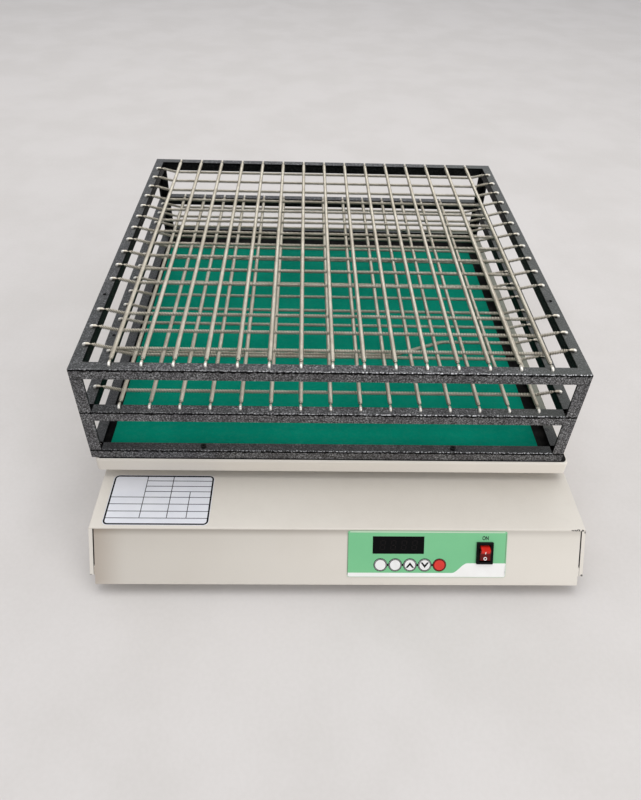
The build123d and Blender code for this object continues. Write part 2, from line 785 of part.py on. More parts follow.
def make_stator():
    """The fixed half of the motor: flange, bearing tube, wound core and flange screws' heads."""
    bore = motor_shaft_radius + running
    tube = bore + stator_tube_wall
    stator = rod(0, motor_y, stator_bottom, stator_bottom + stator_flange, stator_flange_radius)
    stator += rod(0, motor_y, stator_bottom, rotor_top - rotor_wall - 0.8, tube)
    stator += rod(0, motor_y, stator_core, stator_core + stator_height, stator_radius * 0.55)
    for i in range(stator_teeth):
        tooth = block(0, stator_radius, -2, 2, stator_core, stator_core + stator_height)
        stator += Pos(0, motor_y, 0) * Rot(0, 0, 360 / stator_teeth * (i + 0.5)) * tooth
    flange_top = stator_bottom + stator_flange
    for x, y in motor_screw_places:
        stator -= rod(x, y, stator_bottom - 1, flange_top + 1, motor_screw_radius + screw_clearance)
        stator -= rod(x, y, flange_top, stator_core + stator_height + 1, motor_screw_radius * 2.2)
    stator -= rod(0, motor_y, stator_bottom - 1, rotor_top, bore)
    return stator


def make_rotor():
    """The turning can of the motor with its shaft."""
    can = rod(0, motor_y, stator_core, rotor_top, rotor_radius)
    can = fillet(can.edges().sort_by(Axis.Z)[-1], 2)
    can -= rod(0, motor_y, stator_core - 1, rotor_top - rotor_wall, rotor_radius - rotor_wall)
    vent_angles = [360 / rotor_vent_count * i for i in range(rotor_vent_count)]
    for x, y in on_circle(0, motor_y, rotor_vent_circle, vent_angles):
        can -= rod(x, y, rotor_top - rotor_wall - 1, rotor_top + 1, rotor_vent_radius)
    can += rod(0, motor_y, rotor_top - rotor_wall, pulley_bottom - 0.5, motor_shaft_radius * 2)
    return can + rod(0, motor_y, stator_bottom + 0.5, motor_shaft_top, motor_shaft_radius)


def make_motor_screws():
    """Screws from the motor's flange into its bracket."""
    seat_z = stator_bottom + stator_flange
    head = motor_screw_radius * 1.8
    length = stator_flange + bracket_thickness - 0.5
    socket = motor_screw_radius * 1.25
    return group([screw(x, y, seat_z, head, motor_screw_radius, motor_screw_radius, length, socket)
                  for x, y in motor_screw_places])


def make_motor_pulley():
    """The small flanged pulley."""
    pulley = rod(0, motor_y, pulley_bottom, pulley_top, motor_pulley_radius)
    pulley += rod(0, motor_y, pulley_bottom, pulley_bottom + motor_flange, motor_flange_radius)
    pulley += rod(0, motor_y, pulley_top - motor_flange, pulley_top, motor_flange_radius)
    return pulley - rod(0, motor_y, pulley_bottom - 1, pulley_top + 1, motor_shaft_radius + seat)


def belt_outline(offset):
    """The belt's outline round both pulleys, at an offset from their faces."""
    big = pulley_radius + offset
    small = motor_pulley_radius + offset
    rise = (big - small) / motor_distance
    reach = sqrt(1 - rise * rise)
    corners = [(big * reach, axis_y + big * rise), (-big * reach, axis_y + big * rise),
               (-small * reach, motor_y + small * rise), (small * reach, motor_y + small * rise)]
    middle = Polygon(*corners, align=None)
    return Pos(0, axis_y) * Circle(big) + Pos(0, motor_y) * Circle(small) + middle


def make_belt():
    """The flat belt from the motor's pulley to the drive pulley."""
    loop = belt_outline(belt_gap + belt_thickness) - belt_outline(belt_gap)
    return Pos(0, 0, (pulley_bottom + pulley_top - belt_height) / 2) * extrude(loop, amount=belt_height)


def make_housing():
    """The main bearing housing on the pan's floor."""
    housing = rod(0, axis_y, floor_top, floor_top + housing_flange, housing_flange_radius)
    column = rod(0, axis_y, floor_top, housing_top, bearing_radius + housing_wall)
    housing = housing + chamfer(column.edges().sort_by(Axis.Z)[-1], 1)
    for i in range(4):
        rib = block(bearing_radius + housing_wall - 1, housing_flange_radius - 4, -2, 2,
                    floor_top, floor_top + 12)
        housing += Pos(0, axis_y, 0) * Rot(0, 0, 90 * i) * rib
    housing -= rod(0, axis_y, floor_top + housing_floor, housing_top + 1, bearing_radius + seat)
    flange_top = floor_top + housing_flange
    for x, y in housing_screw_places:
        housing -= rod(x, y, floor_top - 1, flange_top + 1, housing_screw_radius + screw_clearance)
    return housing


def make_main_bearings():
    """The two bearings of the main shaft."""
    levels = (floor_top + housing_floor, housing_top - 1 - bearing_width)
    inner = shaft_radius + running
    return group([bearing(0, axis_y, z, bearing_width, bearing_radius, inner) for z in levels])


def make_housing_screws():
    """Cap screws that hold the main housing."""
    return group([screw(x, y, floor_top + housing_flange, housing_screw_radius * 1.7, 4, housing_screw_radius,
                        housing_flange + sheet - 0.1, 3) for x, y in housing_screw_places])


def make_main_shaft():
    """The main shaft from the lower bearing up into the eccentric hub."""
    shaft = rod(0, axis_y, floor_top + housing_floor + shaft_gap, hub_top - 3, shaft_radius)
    return chamfer(shaft.edges().filter_by(GeomType.CIRCLE), 0.5)


def make_drive_pulley():
    """The large pulley with its web and hub."""
    pulley = pipe(0, axis_y, pulley_bottom, pulley_top, pulley_radius, pulley_radius - pulley_rim)
    web_low = (pulley_bottom + pulley_top - pulley_web) / 2
    pulley += rod(0, axis_y, web_low, web_low + pulley_web, pulley_radius - pulley_rim + 0.5)
    pulley += rod(0, axis_y, pulley_bottom, pulley_top, pulley_hub_radius)
    ring = (pulley_hub_radius + pulley_radius - pulley_rim) / 2
    angles = [360 / pulley_hole_count * i for i in range(pulley_hole_count)]
    for x, y in on_circle(0, axis_y, ring, angles):
        pulley -= rod(x, y, pulley_bottom, pulley_top, pulley_hole_radius)
    return pulley - rod(0, axis_y, pulley_bottom - 1, pulley_top + 1, shaft_radius + seat)


def make_hub():
    """The eccentric hub: a stepped disc with the pin that carries the tray."""
    hub = rod(0, axis_y, pulley_top, hub_bottom, hub_neck_radius)
    hub += rod(0, axis_y, hub_bottom, hub_step, hub_radius)
    hub += rod(0, axis_y, hub_step, hub_top, hub_step_radius)
    hub += rod(park_x, axis_y + park_y, hub_top - 0.5, carrier_under - shaft_gap, shaft_radius)
    hub -= rod(0, axis_y, pulley_top - 1, hub_top - 3, shaft_radius + seat)
    for x, y in weight_screw_places:
        hub -= rod(x, y, hub_bottom - 1, hub_step + 1, weight_screw_radius + seat)
    return hub


def make_counterweight():
    """The stepped half ring opposite the pin that balances the tray."""
    inner = hub_step_radius + seat
    ledge = hub_radius + seat
    low = hub_bottom + shaft_gap
    profile = Polyline((inner, hub_step), (ledge, hub_step), (ledge, low), (weight_radius, low),
                       (weight_radius, weight_top), (inner, weight_top), close=True)
    half_ring = revolve(Plane.XZ * make_face(profile), Axis.Z, weight_angle)
    start = park_angle + 180 - weight_angle / 2
    weight = Pos(0, axis_y, 0) * Rot(0, 0, start) * half_ring
    for x, y in weight_screw_places:
        weight -= rod(x, y, hub_bottom, hub_top + 1, weight_screw_radius + screw_clearance)
        weight -= rod(x, y, weight_top - weight_recess, hub_top + 1, weight_screw_radius * 1.8)
    return weight


def make_weight_screws():
    """Screws that hold the counterweight on the hub."""
    seat_z = weight_top - weight_recess
    head = weight_screw_radius * 1.7
    length = seat_z - hub_bottom
    return group([screw(x, y, seat_z, head, weight_recess - 0.2, weight_screw_radius, length, 2.5)
                  for x, y in weight_screw_places])


idler_column_top = cover_under - idler_head_gap
idler_disc_bottom = cover_top + hub_lift
idler_disc_top = idler_disc_bottom + idler_disc


def make_idler_columns():
    """Four flanged columns that hold the idler cranks' bearings."""
    columns = []
    for x, y in idler_places:
        column = rod(x, y, floor_top, floor_top + idler_flange, idler_flange_radius)
        column += rod(x, y, floor_top, idler_column_top, idler_bearing_radius + idler_wall)
        column -= rod(x, y, floor_top + housing_floor, idler_column_top + 1, idler_bearing_radius + seat)
        for a in (30, 150, 270):
            hole_x = x + 24.5 * cos(radians(a))
            hole_y = y + 24.5 * sin(radians(a))
            column -= rod(hole_x, hole_y, floor_top - 1, floor_top + idler_flange + 1, 2.2)
        columns.append(column)
    return group(columns)


def make_idler_bearings():
    """Two bearings in each idler column."""
    levels = (floor_top + housing_floor, idler_column_top - 1 - idler_bearing_width)
    return group([bearing(x, y, z, idler_bearing_width, idler_bearing_radius, idler_shaft_radius + running)
                  for x, y in idler_places for z in levels])


def make_idler_crank(x, y):
    """An idler crank: shaft, disc and the pin that runs in the carrier's bearing."""
    crank = rod(x, y, floor_top + housing_floor + shaft_gap, idler_disc_bottom, idler_shaft_radius)
    disc = rod(x, y, idler_disc_bottom, idler_disc_top, idler_disc_radius)
    crank += chamfer(disc.edges().filter_by(GeomType.CIRCLE), 0.6)
    return crank + rod(x + park_x, y + park_y, idler_disc_top - 0.5, carrier_under - 1.5, idler_pin_radius)


def make_carrier():
    """The plate under the tray that the eccentric pin and the idler pins carry."""
    plate = Pos(tray_x, tray_y, carrier_under)
    plate = plate * round_plate(carrier_size, carrier_size, carrier_thickness, carrier_corner)
    for x, y in tray_screw_places:
        plate -= rod(x, y, carrier_under - 1, tray_under + 1, tray_screw_radius + screw_clearance)
    for dx, dy in ((1, 0), (0, 1), (-1, 0), (0, -1)):
        x = tray_x + dx * carrier_hole_reach
        y = tray_y + dy * carrier_hole_reach
        plate -= rod(x, y, carrier_under - 1, tray_under + 1, carrier_hole_radius)
    return plate


def make_centre_housing():
    """The housing under the carrier's middle that holds the eccentric pin's bearing."""
    housing = rod(tray_x, tray_y, carrier_under - centre_flange, carrier_under, centre_flange_radius)
    bottom = carrier_under - bearing_width + shaft_gap
    housing += rod(tray_x, tray_y, bottom, carrier_under, bearing_radius + centre_wall)
    return housing - rod(tray_x, tray_y, bottom - 1, carrier_under + 1, bearing_radius + seat)


cup_places = [(x + park_x, y + park_y) for x, y in idler_places]
cup_bottom = carrier_under - cup_flange - cup_bearing_width - 0.5


def make_cups():
    """Cups under the carrier's corners for the idler pins' bearings."""
    cups = []
    for x, y in cup_places:
        cup = rod(x, y, carrier_under - cup_flange, carrier_under, cup_flange_radius)
        cup += rod(x, y, cup_bottom, carrier_under, cup_bearing_radius + cup_wall)
        bore_top = carrier_under - cup_flange / 2
        cups.append(cup - rod(x, y, cup_bottom - 1, bore_top, cup_bearing_radius + seat))
    return cups


def make_carrier_bearings():
    """The bearings under the carrier: the eccentric pin's in the middle, the idler pins' in the cups."""
    low = carrier_under - bearing_width
    centre = bearing(tray_x, tray_y, low, bearing_width, bearing_radius, shaft_radius + running)
    inner = idler_pin_radius + idler_pin_clearance
    corners = [bearing(x, y, cup_bottom + 0.5, cup_bearing_width, cup_bearing_radius, inner)
               for x, y in cup_places]
    return group([centre] + corners)


def make_tray():
    """The tray: a flat plate with its rim folded down all round."""
    outer = Pos(tray_x, tray_y, (tray_top + tray_top - tray_rim) / 2) * Box(tray_width, tray_width, tray_rim)
    outer = fillet(outer.edges().filter_by(Axis.Z), tray_corner)
    outer = fillet(outer.faces().sort_by(Axis.Z)[-1].outer_wire().edges(), tray_edge)
    inner_width = tray_width - 2 * sheet
    inner = Pos(tray_x, tray_y, tray_top - tray_rim - 1)
    inner = inner * round_plate(inner_width, inner_width, tray_rim + 1 - sheet, tray_corner - sheet)
    inner = fillet(inner.faces().sort_by(Axis.Z)[-1].outer_wire().edges(), max(tray_edge - sheet, 0.3))
    tray = outer - inner
    for x, y in tray_screw_places:
        tray -= rod(x, y, tray_under - 1, tray_top + 1, tray_screw_radius * 1.8 + screw_clearance)
    for x, y in rack_screw_places:
        tray -= rod(x, y, tray_under - 1, tray_top + 1, rack_screw_radius + screw_clearance)
    return tray


def make_tray_screws():
    """Low-headed screws through the tray into the carrier, with their nuts."""
    pieces = []
    head = sheet - screw_clearance
    length = carrier_thickness + tray_nut + 1
    nut_low = carrier_under - tray_nut
    for x, y in tray_screw_places:
        pieces.append(screw(x, y, tray_under, tray_screw_radius * 1.8, head, tray_screw_radius, length,
                            tray_screw_radius))
        nut = hexagon(x, y, nut_low, carrier_under, tray_screw_radius * 3.2)
        pieces.append(nut - rod(x, y, nut_low - 1, carrier_under + 1, tray_screw_radius + seat))
    return group(pieces)


def make_liner():
    """The black liner that covers the tray."""
    size = tray_width - 2 * liner_inset - 2 * tray_edge / 2
    liner = Pos(tray_x, tray_y, tray_top) * round_plate(size, size, liner_thickness, tray_corner)
    for x, y in rack_screw_places:
        liner -= rod(x, y, tray_top - 1, liner_top + 1, rack_screw_radius + screw_clearance)
    return liner


def make_mat():
    """The green rubber mat between the rack's rails."""
    mat = Pos(rack_x + mat_shift_x, rack_y + mat_shift_y, liner_top)
    mat = mat * round_plate(mat_width, mat_depth, mat_thickness, mat_corner)
    return fillet(mat.faces().sort_by(Axis.Z)[-1].outer_wire().edges(), 0.5)


def hook_holes(level):
    """Cutters for the row of spring holes in the top walls of all four tubes of one level."""
    holes = []
    low = level - tube_wall - 1
    across = rack_size / 2 - hook_inset
    for i in range(spring_count):
        along = (i - (spring_count - 1) / 2) * spring_pitch
        for x, y in ((along, -across), (along, across), (-across, along), (across, along)):
            holes.append(rod(rack_x + x, rack_y + y, low, level + 1, hook_hole_radius))
    return holes


def make_top_frame():
    """The rack's top frame: a mitred rectangle of square tube."""
    level = liner_top + top_level
    under = level - tube_size
    half = rack_size / 2
    inner = half - tube_size
    frame = block(-half, half, -half, half, under, level) - block(-inner, inner, -inner, inner, under, level)
    frame = fillet(frame.edges(), tube_round)
    half -= tube_wall
    inner += tube_wall
    under += tube_wall
    roof = level - tube_wall
    core = block(-half, half, -half, half, under, roof) - block(-inner, inner, -inner, inner, under, roof)
    return Pos(rack_x, rack_y, 0) * (frame - core) - hook_holes(level)


def make_middle_frame():
    """Four rails of capped square tube that butt between the posts, with their rows of spring holes."""
    level = liner_top + middle_level
    under = level - tube_size
    front = -rack_size / 2
    end = rack_size / 2 - post_leg
    rail = block(-end, end, front, front + tube_size, under, level)
    rail = fillet(rail.edges().filter_by(Axis.X), tube_round)
    rail -= block(-end + tube_wall, end - tube_wall, front + tube_wall, front + tube_size - tube_wall,
                  under + tube_wall, level - tube_wall)
    holes = hook_holes(level)
    return group([Pos(rack_x, rack_y, 0) * Rot(0, 0, 90 * turn) * rail - holes for turn in range(4)])


def rail_frame(level):
    """Four rails of angle that butt between the posts, their flanges' top faces at a level."""
    half = rack_size / 2
    length = rack_size - 2 * post_leg
    rails = []
    for turn in range(4):
        rail = block(-length / 2, length / 2, -half, -half + rail_leg, level - angle_thickness, level)
        rail += block(-length / 2, length / 2, -half, -half + angle_thickness, level - rail_leg, level)
        corner = rail.edges().filter_by(Axis.X).filter_by_position(Axis.Z, level - 0.01, level + 0.01)
        rail = fillet(corner.filter_by_position(Axis.Y, -half - 0.01, -half + 0.01), edge_round)
        rails.append(Pos(rack_x, rack_y, 0) * Rot(0, 0, 90 * turn) * rail)
    return rails


def make_bottom_frame():
    """The bottom rails, which stand on the liner, with the rack's screw holes."""
    level = liner_top + rail_leg
    holes = [rod(x, y, level - angle_thickness - 1, level + 1, rack_screw_radius + screw_clearance)
             for x, y in rack_screw_places]
    return group([rail - holes for rail in rail_frame(level)])


def make_posts():
    """The rack's four corner posts of angle."""
    half = rack_size / 2
    top = liner_top + top_level - tube_size
    posts = []
    for turn in range(4):
        post = block(-half, -half + post_leg, -half, -half + angle_thickness, liner_top, top)
        post += block(-half, -half + angle_thickness, -half, -half + post_leg, liner_top, top)
        corner = post.edges().filter_by(Axis.Z).sort_by(lambda e: e.center().X + e.center().Y)[0]
        post = fillet(corner, edge_round)
        posts.append(Pos(rack_x, rack_y, 0) * Rot(0, 0, 90 * turn) * post)
    return group(posts)


def make_rack_screws():
    """Low round screws that hold the rack down on the tray, with their nuts."""
    pieces = []
    flange = liner_top + rail_leg
    nut_low = tray_under - rack_nut
    length = flange - nut_low + 1
    head = rack_screw_radius * 1.75
    for x, y in rack_screw_places:
        pieces.append(screw(x, y, flange, head, rack_screw_radius * 1.1, rack_screw_radius, length,
                            rack_screw_radius * 1.4))
        nut = hexagon(x, y, nut_low, tray_under, rack_screw_radius * 3.5)
        pieces.append(nut - rod(x, y, nut_low - 1, tray_under + 1, rack_screw_radius + seat))
    return group(pieces)


def spring_axis(level):
    """The height of a level's hooks and long springs, over the tube's top face."""
    return level + hook_rest + wire_radius


def body_start(hole, inward):
    """Where a spring's round body begins, past the tube's inner face."""
    return hole + inward * (tube_size - hook_inset + body_gap)


def hook_wire(hole, inward, level):
    """The wire from a spring's body over the tube and down into its hole."""
    tip = Vector(hole.X, hole.Y, level - hook_depth)
    root = body_start(hole, inward) + inward * wire_root
    path = FilletPolyline(tip, hole, root, radius=hook_bend)
    return sweep(Plane(origin=tip) * Circle(wire_radius), path=path)


def swept_rod(points, radius):
    """A round rod along straight runs, bent where they meet."""
    path = FilletPolyline(*points, radius=spring_bend) if len(points) > 2 else Line(*points)
    along = points[1] - points[0]
    return sweep(Plane(origin=points[0], z_dir=along) * Circle(radius), path=path)


def spring_holes(index, long_way, level):
    """The middles of a spring's two hooks, counted from the left or from the front."""
    along = (index - (spring_count - 1) / 2) * spring_pitch
    across = rack_size / 2 - hook_inset
    z = spring_axis(level)
    if long_way:
        return Vector(rack_x + along, rack_y - across, z), Vector(rack_x + along, rack_y + across, z)
    return Vector(rack_x - across, rack_y + along, z), Vector(rack_x + across, rack_y + along, z)


def dip(hole, inward):
    """Where a cross spring has come down far enough to pass under the first long spring."""
    first_long = spring_margin - hook_inset
    return hole + inward * (first_long - 2 * spring_radius) - Vector(0, 0, cross_drop)


def spring(index, long_way, level):
    """A stretched spring between two holes: its round body and a wire hook at each end."""
    a, b = spring_holes(index, long_way, level)
    there = (b - a).normalized()
    points = [body_start(a, there), body_start(b, -there)]
    if not long_way:
        points[1:1] = [dip(a, there), dip(b, -there)]
    return swept_rod(points, spring_radius) + hook_wire(a, there, level) + hook_wire(b, -there, level)


def spring_set(level, long_way, left_out):
    """All the springs of one level that run one way."""
    return group([spring(i, long_way, level) for i in range(spring_count) if i not in left_out])


def strayed_spring(level):
    """The cross spring whose left end lies on the tube, beside its neighbour in front."""
    there = Vector(1, 0, 0)
    own_left, right = spring_holes(strayed_cross, False, level)
    neighbour = spring_holes(strayed_cross - 1, False, level)[0]
    left = Vector(own_left.X, neighbour.Y + 2 * spring_radius + layer_gap, own_left.Z)
    low_left = dip(left, there)
    low_right = dip(right, -there)
    turn_left = Vector(rack_x + stray_end, left.Y, low_left.Z)
    turn_right = Vector(rack_x + stray_start, right.Y, low_right.Z)
    body = swept_rod([body_start(left, there), low_left, turn_left, turn_right, low_right,
                      body_start(right, -there)], spring_radius)
    tail = swept_rod([left, body_start(left, there) + there * wire_root], wire_radius)
    return body + tail + hook_wire(right, -there, level)


slot_end = cover_under - slot_length * panel_drop / panel_slant
top_height = liner_top + top_level
middle_height = liner_top + middle_level

parts["base_pan"] = make_base_pan()
parts["top_cover"] = make_top_cover()
parts["cover_screws"] = make_cover_screws()
parts["rubber_feet"] = make_feet()
parts["foot_screws"] = make_foot_screws()
parts["blank_label"] = make_label()
parts["control_overlay"] = make_overlay()
parts["display_window"] = make_window()
parts["display_module"] = make_display()
parts["control_board"] = make_control_board()
parts["board_standoffs"] = make_standoffs()
parts["key_switches"] = make_key_switches()
for name, (x, down) in zip(key_names, key_places):
    parts[name] = make_key(x, down)
parts["rocker_bezel"] = make_bezel()
parts["rocker_button"] = make_rocker()
parts["mains_inlet"] = make_inlet()
parts["inlet_screws"] = make_inlet_screws()
parts["power_supply"] = make_supply()
parts["motor_drive_board"] = make_drive_board()
parts["motor_bracket"] = make_bracket()
parts["motor_stator"] = make_stator()
parts["motor_rotor"] = make_rotor()
parts["motor_screws"] = make_motor_screws()
parts["motor_pulley"] = make_motor_pulley()
parts["drive_belt"] = make_belt()
parts["main_bearing_housing"] = make_housing()
parts["main_bearings"] = make_main_bearings()
parts["housing_screws"] = make_housing_screws()
parts["main_shaft"] = make_main_shaft()
parts["drive_pulley"] = make_drive_pulley()
parts["eccentric_hub"] = make_hub()
parts["counterweight"] = make_counterweight()
parts["counterweight_screws"] = make_weight_screws()
parts["idler_columns"] = make_idler_columns()
parts["idler_bearings"] = make_idler_bearings()
for corner, (x, y) in zip(corner_names, idler_places):
    parts[f"{corner}_idler_crank"] = make_idler_crank(x, y)
parts["carrier_plate"] = make_carrier()
parts["carrier_bearing_housings"] = group([make_centre_housing()] + make_cups())
parts["carrier_bearings"] = make_carrier_bearings()
parts["tray"] = make_tray()
parts["tray_screws"] = make_tray_screws()
parts["tray_liner"] = make_liner()
parts["rubber_mat"] = make_mat()
parts["rack_bottom_frame"] = make_bottom_frame()
parts["rack_middle_frame"] = make_middle_frame()
parts["rack_top_frame"] = make_top_frame()
parts["rack_posts"] = make_posts()
parts["rack_screws"] = make_rack_screws()
parts["top_long_springs"] = spring_set(top_height, True, [])
parts["top_cross_springs"] = spring_set(top_height, False, [missing_top_cross])
parts["middle_long_springs"] = spring_set(middle_height, True, [])
parts["middle_cross_springs"] = spring_set(middle_height, False, [strayed_cross])
parts["strayed_cross_spring"] = strayed_spring(middle_height)

os.makedirs("parts", exist_ok=True)
for name, shape in parts.items():
    export_step(shape, f"parts/{name}.step")
print(len(parts), "parts")
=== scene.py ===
import json
from math import cos, pi, radians, sin, tan

import bmesh
import bpy
from mathutils import Matrix, Vector


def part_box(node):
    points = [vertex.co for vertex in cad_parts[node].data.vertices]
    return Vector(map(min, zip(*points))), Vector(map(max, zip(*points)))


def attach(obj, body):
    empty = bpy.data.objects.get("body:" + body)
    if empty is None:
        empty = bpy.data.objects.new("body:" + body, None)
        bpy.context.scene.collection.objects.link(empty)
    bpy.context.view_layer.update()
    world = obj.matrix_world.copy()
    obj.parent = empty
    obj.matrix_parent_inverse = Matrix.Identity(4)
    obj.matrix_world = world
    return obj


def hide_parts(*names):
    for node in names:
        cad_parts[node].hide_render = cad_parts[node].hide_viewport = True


# A laboratory orbital shaker with a rack of stretched springs. Everything is in metres, +X to the
# right, +Y to the back and +Z up, as in the frame.

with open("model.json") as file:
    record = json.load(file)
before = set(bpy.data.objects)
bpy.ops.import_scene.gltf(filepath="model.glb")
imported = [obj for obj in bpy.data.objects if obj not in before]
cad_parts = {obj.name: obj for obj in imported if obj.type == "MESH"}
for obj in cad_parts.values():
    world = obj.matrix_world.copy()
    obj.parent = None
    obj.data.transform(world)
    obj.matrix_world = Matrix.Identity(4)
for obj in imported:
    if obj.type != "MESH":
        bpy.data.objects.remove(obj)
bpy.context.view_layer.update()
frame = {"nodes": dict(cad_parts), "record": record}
nodes = frame["nodes"]
MM = 0.001
WHITE = (1.0, 1.0, 1.0, 1.0)
BLACK = (0.0, 0.0, 0.0, 1.0)
ORIGIN = (0.0, 0.0, 0.0)
TO_RIGHT = (1.0, 0.0, 0.0)
TO_LEFT = (-1.0, 0.0, 0.0)
TO_FRONT = (0.0, -1.0, 0.0)
DOWN = (0.0, 0.0, -1.0)
RIGHT = Vector(TO_RIGHT)
UP = Vector((0, 0, 1))


# Node helpers

building = []


def build_in(tree):
    """Nodes are added to this tree from here on."""
    building[:] = [tree]
    return tree


def feed(sockets, values):
    """Values or links for a node's sockets."""
    for name, value in values.items():
        if isinstance(value, bpy.types.NodeSocket):
            building[0].links.new(value, sockets[name])
        else:
            sockets[name].default_value = value


def add(kind, feeds=None, **settings):
    """A node: settings are its attributes, feeds are values or links for its sockets."""
    made = building[0].nodes.new(kind)
    for name, value in settings.items():
        setattr(made, name, value)
    feed(made.inputs, feeds or {})
    return made


def math(operation, a, b=0.0, held=False):
    """A sum of two values, held between 0 and 1 if that is wanted."""
    return add("ShaderNodeMath", {0: a, 1: b}, operation=operation, use_clamp=held).outputs[0]


def times(a, b):
    """A product, held between 0 and 1."""
    return math("MULTIPLY", a, b, held=True)


def minus(a, b):
    """A difference."""
    return math("SUBTRACT", a, b)


def ratio(a, b):
    """One value over another."""
    return math("DIVIDE", a, b)


def vectors(operation, a, b=ORIGIN):
    """A sum of two vectors; a dot product or a length comes out as a value."""
    made = add("ShaderNodeVectorMath", {0: a, 1: b}, operation=operation).outputs
    return made["Value"] if operation in ("DOT_PRODUCT", "LENGTH") else made["Vector"]


def xyz(vector):
    """The three parts of a vector."""
    return add("ShaderNodeSeparateXYZ", {"Vector": vector}).outputs


def spread(value, low, high, to_low=0.0, to_high=1.0):
    """A value carried smoothly from one range to another."""
    feeds = {"Value": value, "From Min": low, "From Max": high, "To Min": to_low, "To Max": to_high}
    return add("ShaderNodeMapRange", feeds, interpolation_type="SMOOTHSTEP").outputs["Result"]


def mix_colors(factor, a, b):
    """Two colours mixed by a factor."""
    return add("ShaderNodeMix", {0: factor, 6: a, 7: b}, data_type="RGBA").outputs[2]


def place_on_object():
    """The object's own coordinates."""
    return add("ShaderNodeTexCoord").outputs["Object"]


def away_from(place):
    """The way from a place on the object."""
    return vectors("SUBTRACT", place_on_object(), place)


def face_way():
    """The way that the face looks."""
    return add("ShaderNodeNewGeometry").outputs["Normal"]


def face_lift():
    """How far the face looks up, from -1 to 1."""
    return xyz(face_way())["Z"]


def looks_to(way):
    """How nearly the face looks one way, up to 1."""
    return vectors("DOT_PRODUCT", face_way(), way)


def noise(size, detail, share=1.0, spot=None, **more):
    """Soft noise with grains of a size in metres, over a share."""
    feeds = {"Vector": spot or place_on_object(), "Scale": ratio(share, size), "Detail": detail, **more}
    return add("ShaderNodeTexNoise", feeds).outputs[0]


def socket_name(word):
    """A socket's label, from its name in a call."""
    return word.replace("_", " ").title().replace("Ior", "IOR")


def effect(**firsts):
    """Makes a shader node group of a function's name. Its inputs are named here with their first values, and
    the function takes them as sockets and gives back its outputs by name."""
    def make(build):
        tree = build_in(bpy.data.node_groups.new(build.__name__, "ShaderNodeTree"))
        for name, first in firsts.items():
            kind = "NodeSocketFloat"
            if isinstance(first, tuple):
                kind = "NodeSocketVector" if len(first) == 3 else "NodeSocketColor"
            socket = tree.interface.new_socket(name=socket_name(name), in_out="INPUT", socket_type=kind)
            socket.default_value = first
        given = tree.nodes.new("NodeGroupInput").outputs
        made = build(**{name: given[socket_name(name)] for name in firsts})
        for name in made:
            kind = "NodeSocketColor" if name == "Color" else "NodeSocketFloat"
            tree.interface.new_socket(name=name, in_out="OUTPUT", socket_type=kind)
        feed(tree.nodes.new("NodeGroupOutput").inputs, made)
        return tree
    return make


def use(group, **values):
    """A group placed in a material."""
    placed = add("ShaderNodeGroup", node_tree=group)
    feed(placed.inputs, {socket_name(name): value for name, value in values.items()})
    return placed.outputs


def mask(group, **values):
    """The mask of a group placed in a material."""
    return use(group, **values)["Mask"]


def paint_rgb(red, green, blue):
    """A colour as it shows on a screen, 0 to 255, as the light that the shader wants."""
    def linear(level):
        share = level / 255
        return share / 12.92 if share <= 0.04045 else ((share + 0.055) / 1.055) ** 2.4
    return (linear(red), linear(green), linear(blue), 1.0)


def tint(shown, where, color, amount=1.0):
    """A colour laid over another where a mask says, by an amount."""
    return mix_colors(times(where, amount), shown, paint_rgb(*color))


# Effects that several finishes share

@effect(color=WHITE, shade=BLACK, patch_size=0.05, patch_amount=0.1, mottle_size=0.002, mottle_amount=0.05)
def uneven_tone(color, shade, patch_size, patch_amount, mottle_size, mottle_amount):
    """Large soft patches and fine mottle in a coat's colour."""
    patch = spread(noise(patch_size, 4.0, Roughness=0.55), 0.35, 0.65)
    mottle = spread(noise(mottle_size, 3.0), 0.3, 0.7)
    both = math("ADD", times(patch, patch_amount), times(mottle, mottle_amount), held=True)
    return {"Color": mix_colors(both, color, shade), "Mask": both}


@effect(radius=0.001, amount=0.5, break_up=0.004)
def worn_edges(radius, amount, break_up):
    """Where a sharp edge has lost its coat."""
    rounded = add("ShaderNodeBevel", {"Radius": radius}, samples=4).outputs[0]
    edge = spread(looks_to(rounded), 0.98, 0.8)
    broken = spread(noise(break_up, 5.0), 0.45, 0.62)
    return {"Mask": times(times(edge, broken), amount)}


@effect(amount=0.1, size=0.01)
def dust_and_top_shade(amount, size):
    """Patches on what faces up: settled dust in most finishes, and painted shade on the rack's top faces."""
    patches = spread(noise(size, 6.0, Roughness=0.65), 0.4, 0.75)
    lying = times(spread(face_lift(), 0.5, 0.98), patches)
    return {"Mask": times(lying, amount)}


@effect(level=0.0, front=0.0, left=0.0, right=1.0, band=0.0009, break_up=0.0015)
def upper_rounds(level, front, left, right, band, break_up):
    """The upper edges of the rack's tubes: a painted dark reflection as a thin ragged band under the
    rounding, and painted glints along the front edge, more of them towards the right."""
    lift = face_lift()
    x, y, z = xyz(place_on_object())
    under = minus(level, z)
    wander = noise(break_up, 3.0, 0.45, Roughness=0.65)
    ragged = math("ADD", ratio(under, band), math("MULTIPLY", wander, 3.2))
    away = math("ABSOLUTE", minus(ragged, 2.25))
    dark_reflection = times(spread(away, 0.8, 0.5), spread(lift, 0.9, 0.7))
    edge = times(spread(minus(y, front), 0.0015, 0.001), spread(lift, 0.45, 0.7))
    near = spread(math("ABSOLUTE", under), 0.0012, 0.0008)
    rightward = ratio(minus(x, left), minus(right, left))
    amount = spread(rightward, 0.1, 0.7, 0.3, 1.0)
    grains = spread(noise(break_up, 2.0), 0.51, 0.59)
    glints = times(times(times(edge, near), grains), amount)
    return {"Glints": glints, "Thin Band": dark_reflection}


@effect(middle=ORIGIN)
def inner_side(middle):
    """Where a face looks in towards a place in the middle of the rack."""
    flat = vectors("MULTIPLY", away_from(middle), (1.0, 1.0, 0.0))
    return {"Mask": spread(looks_to(flat), -0.01, -0.07)}


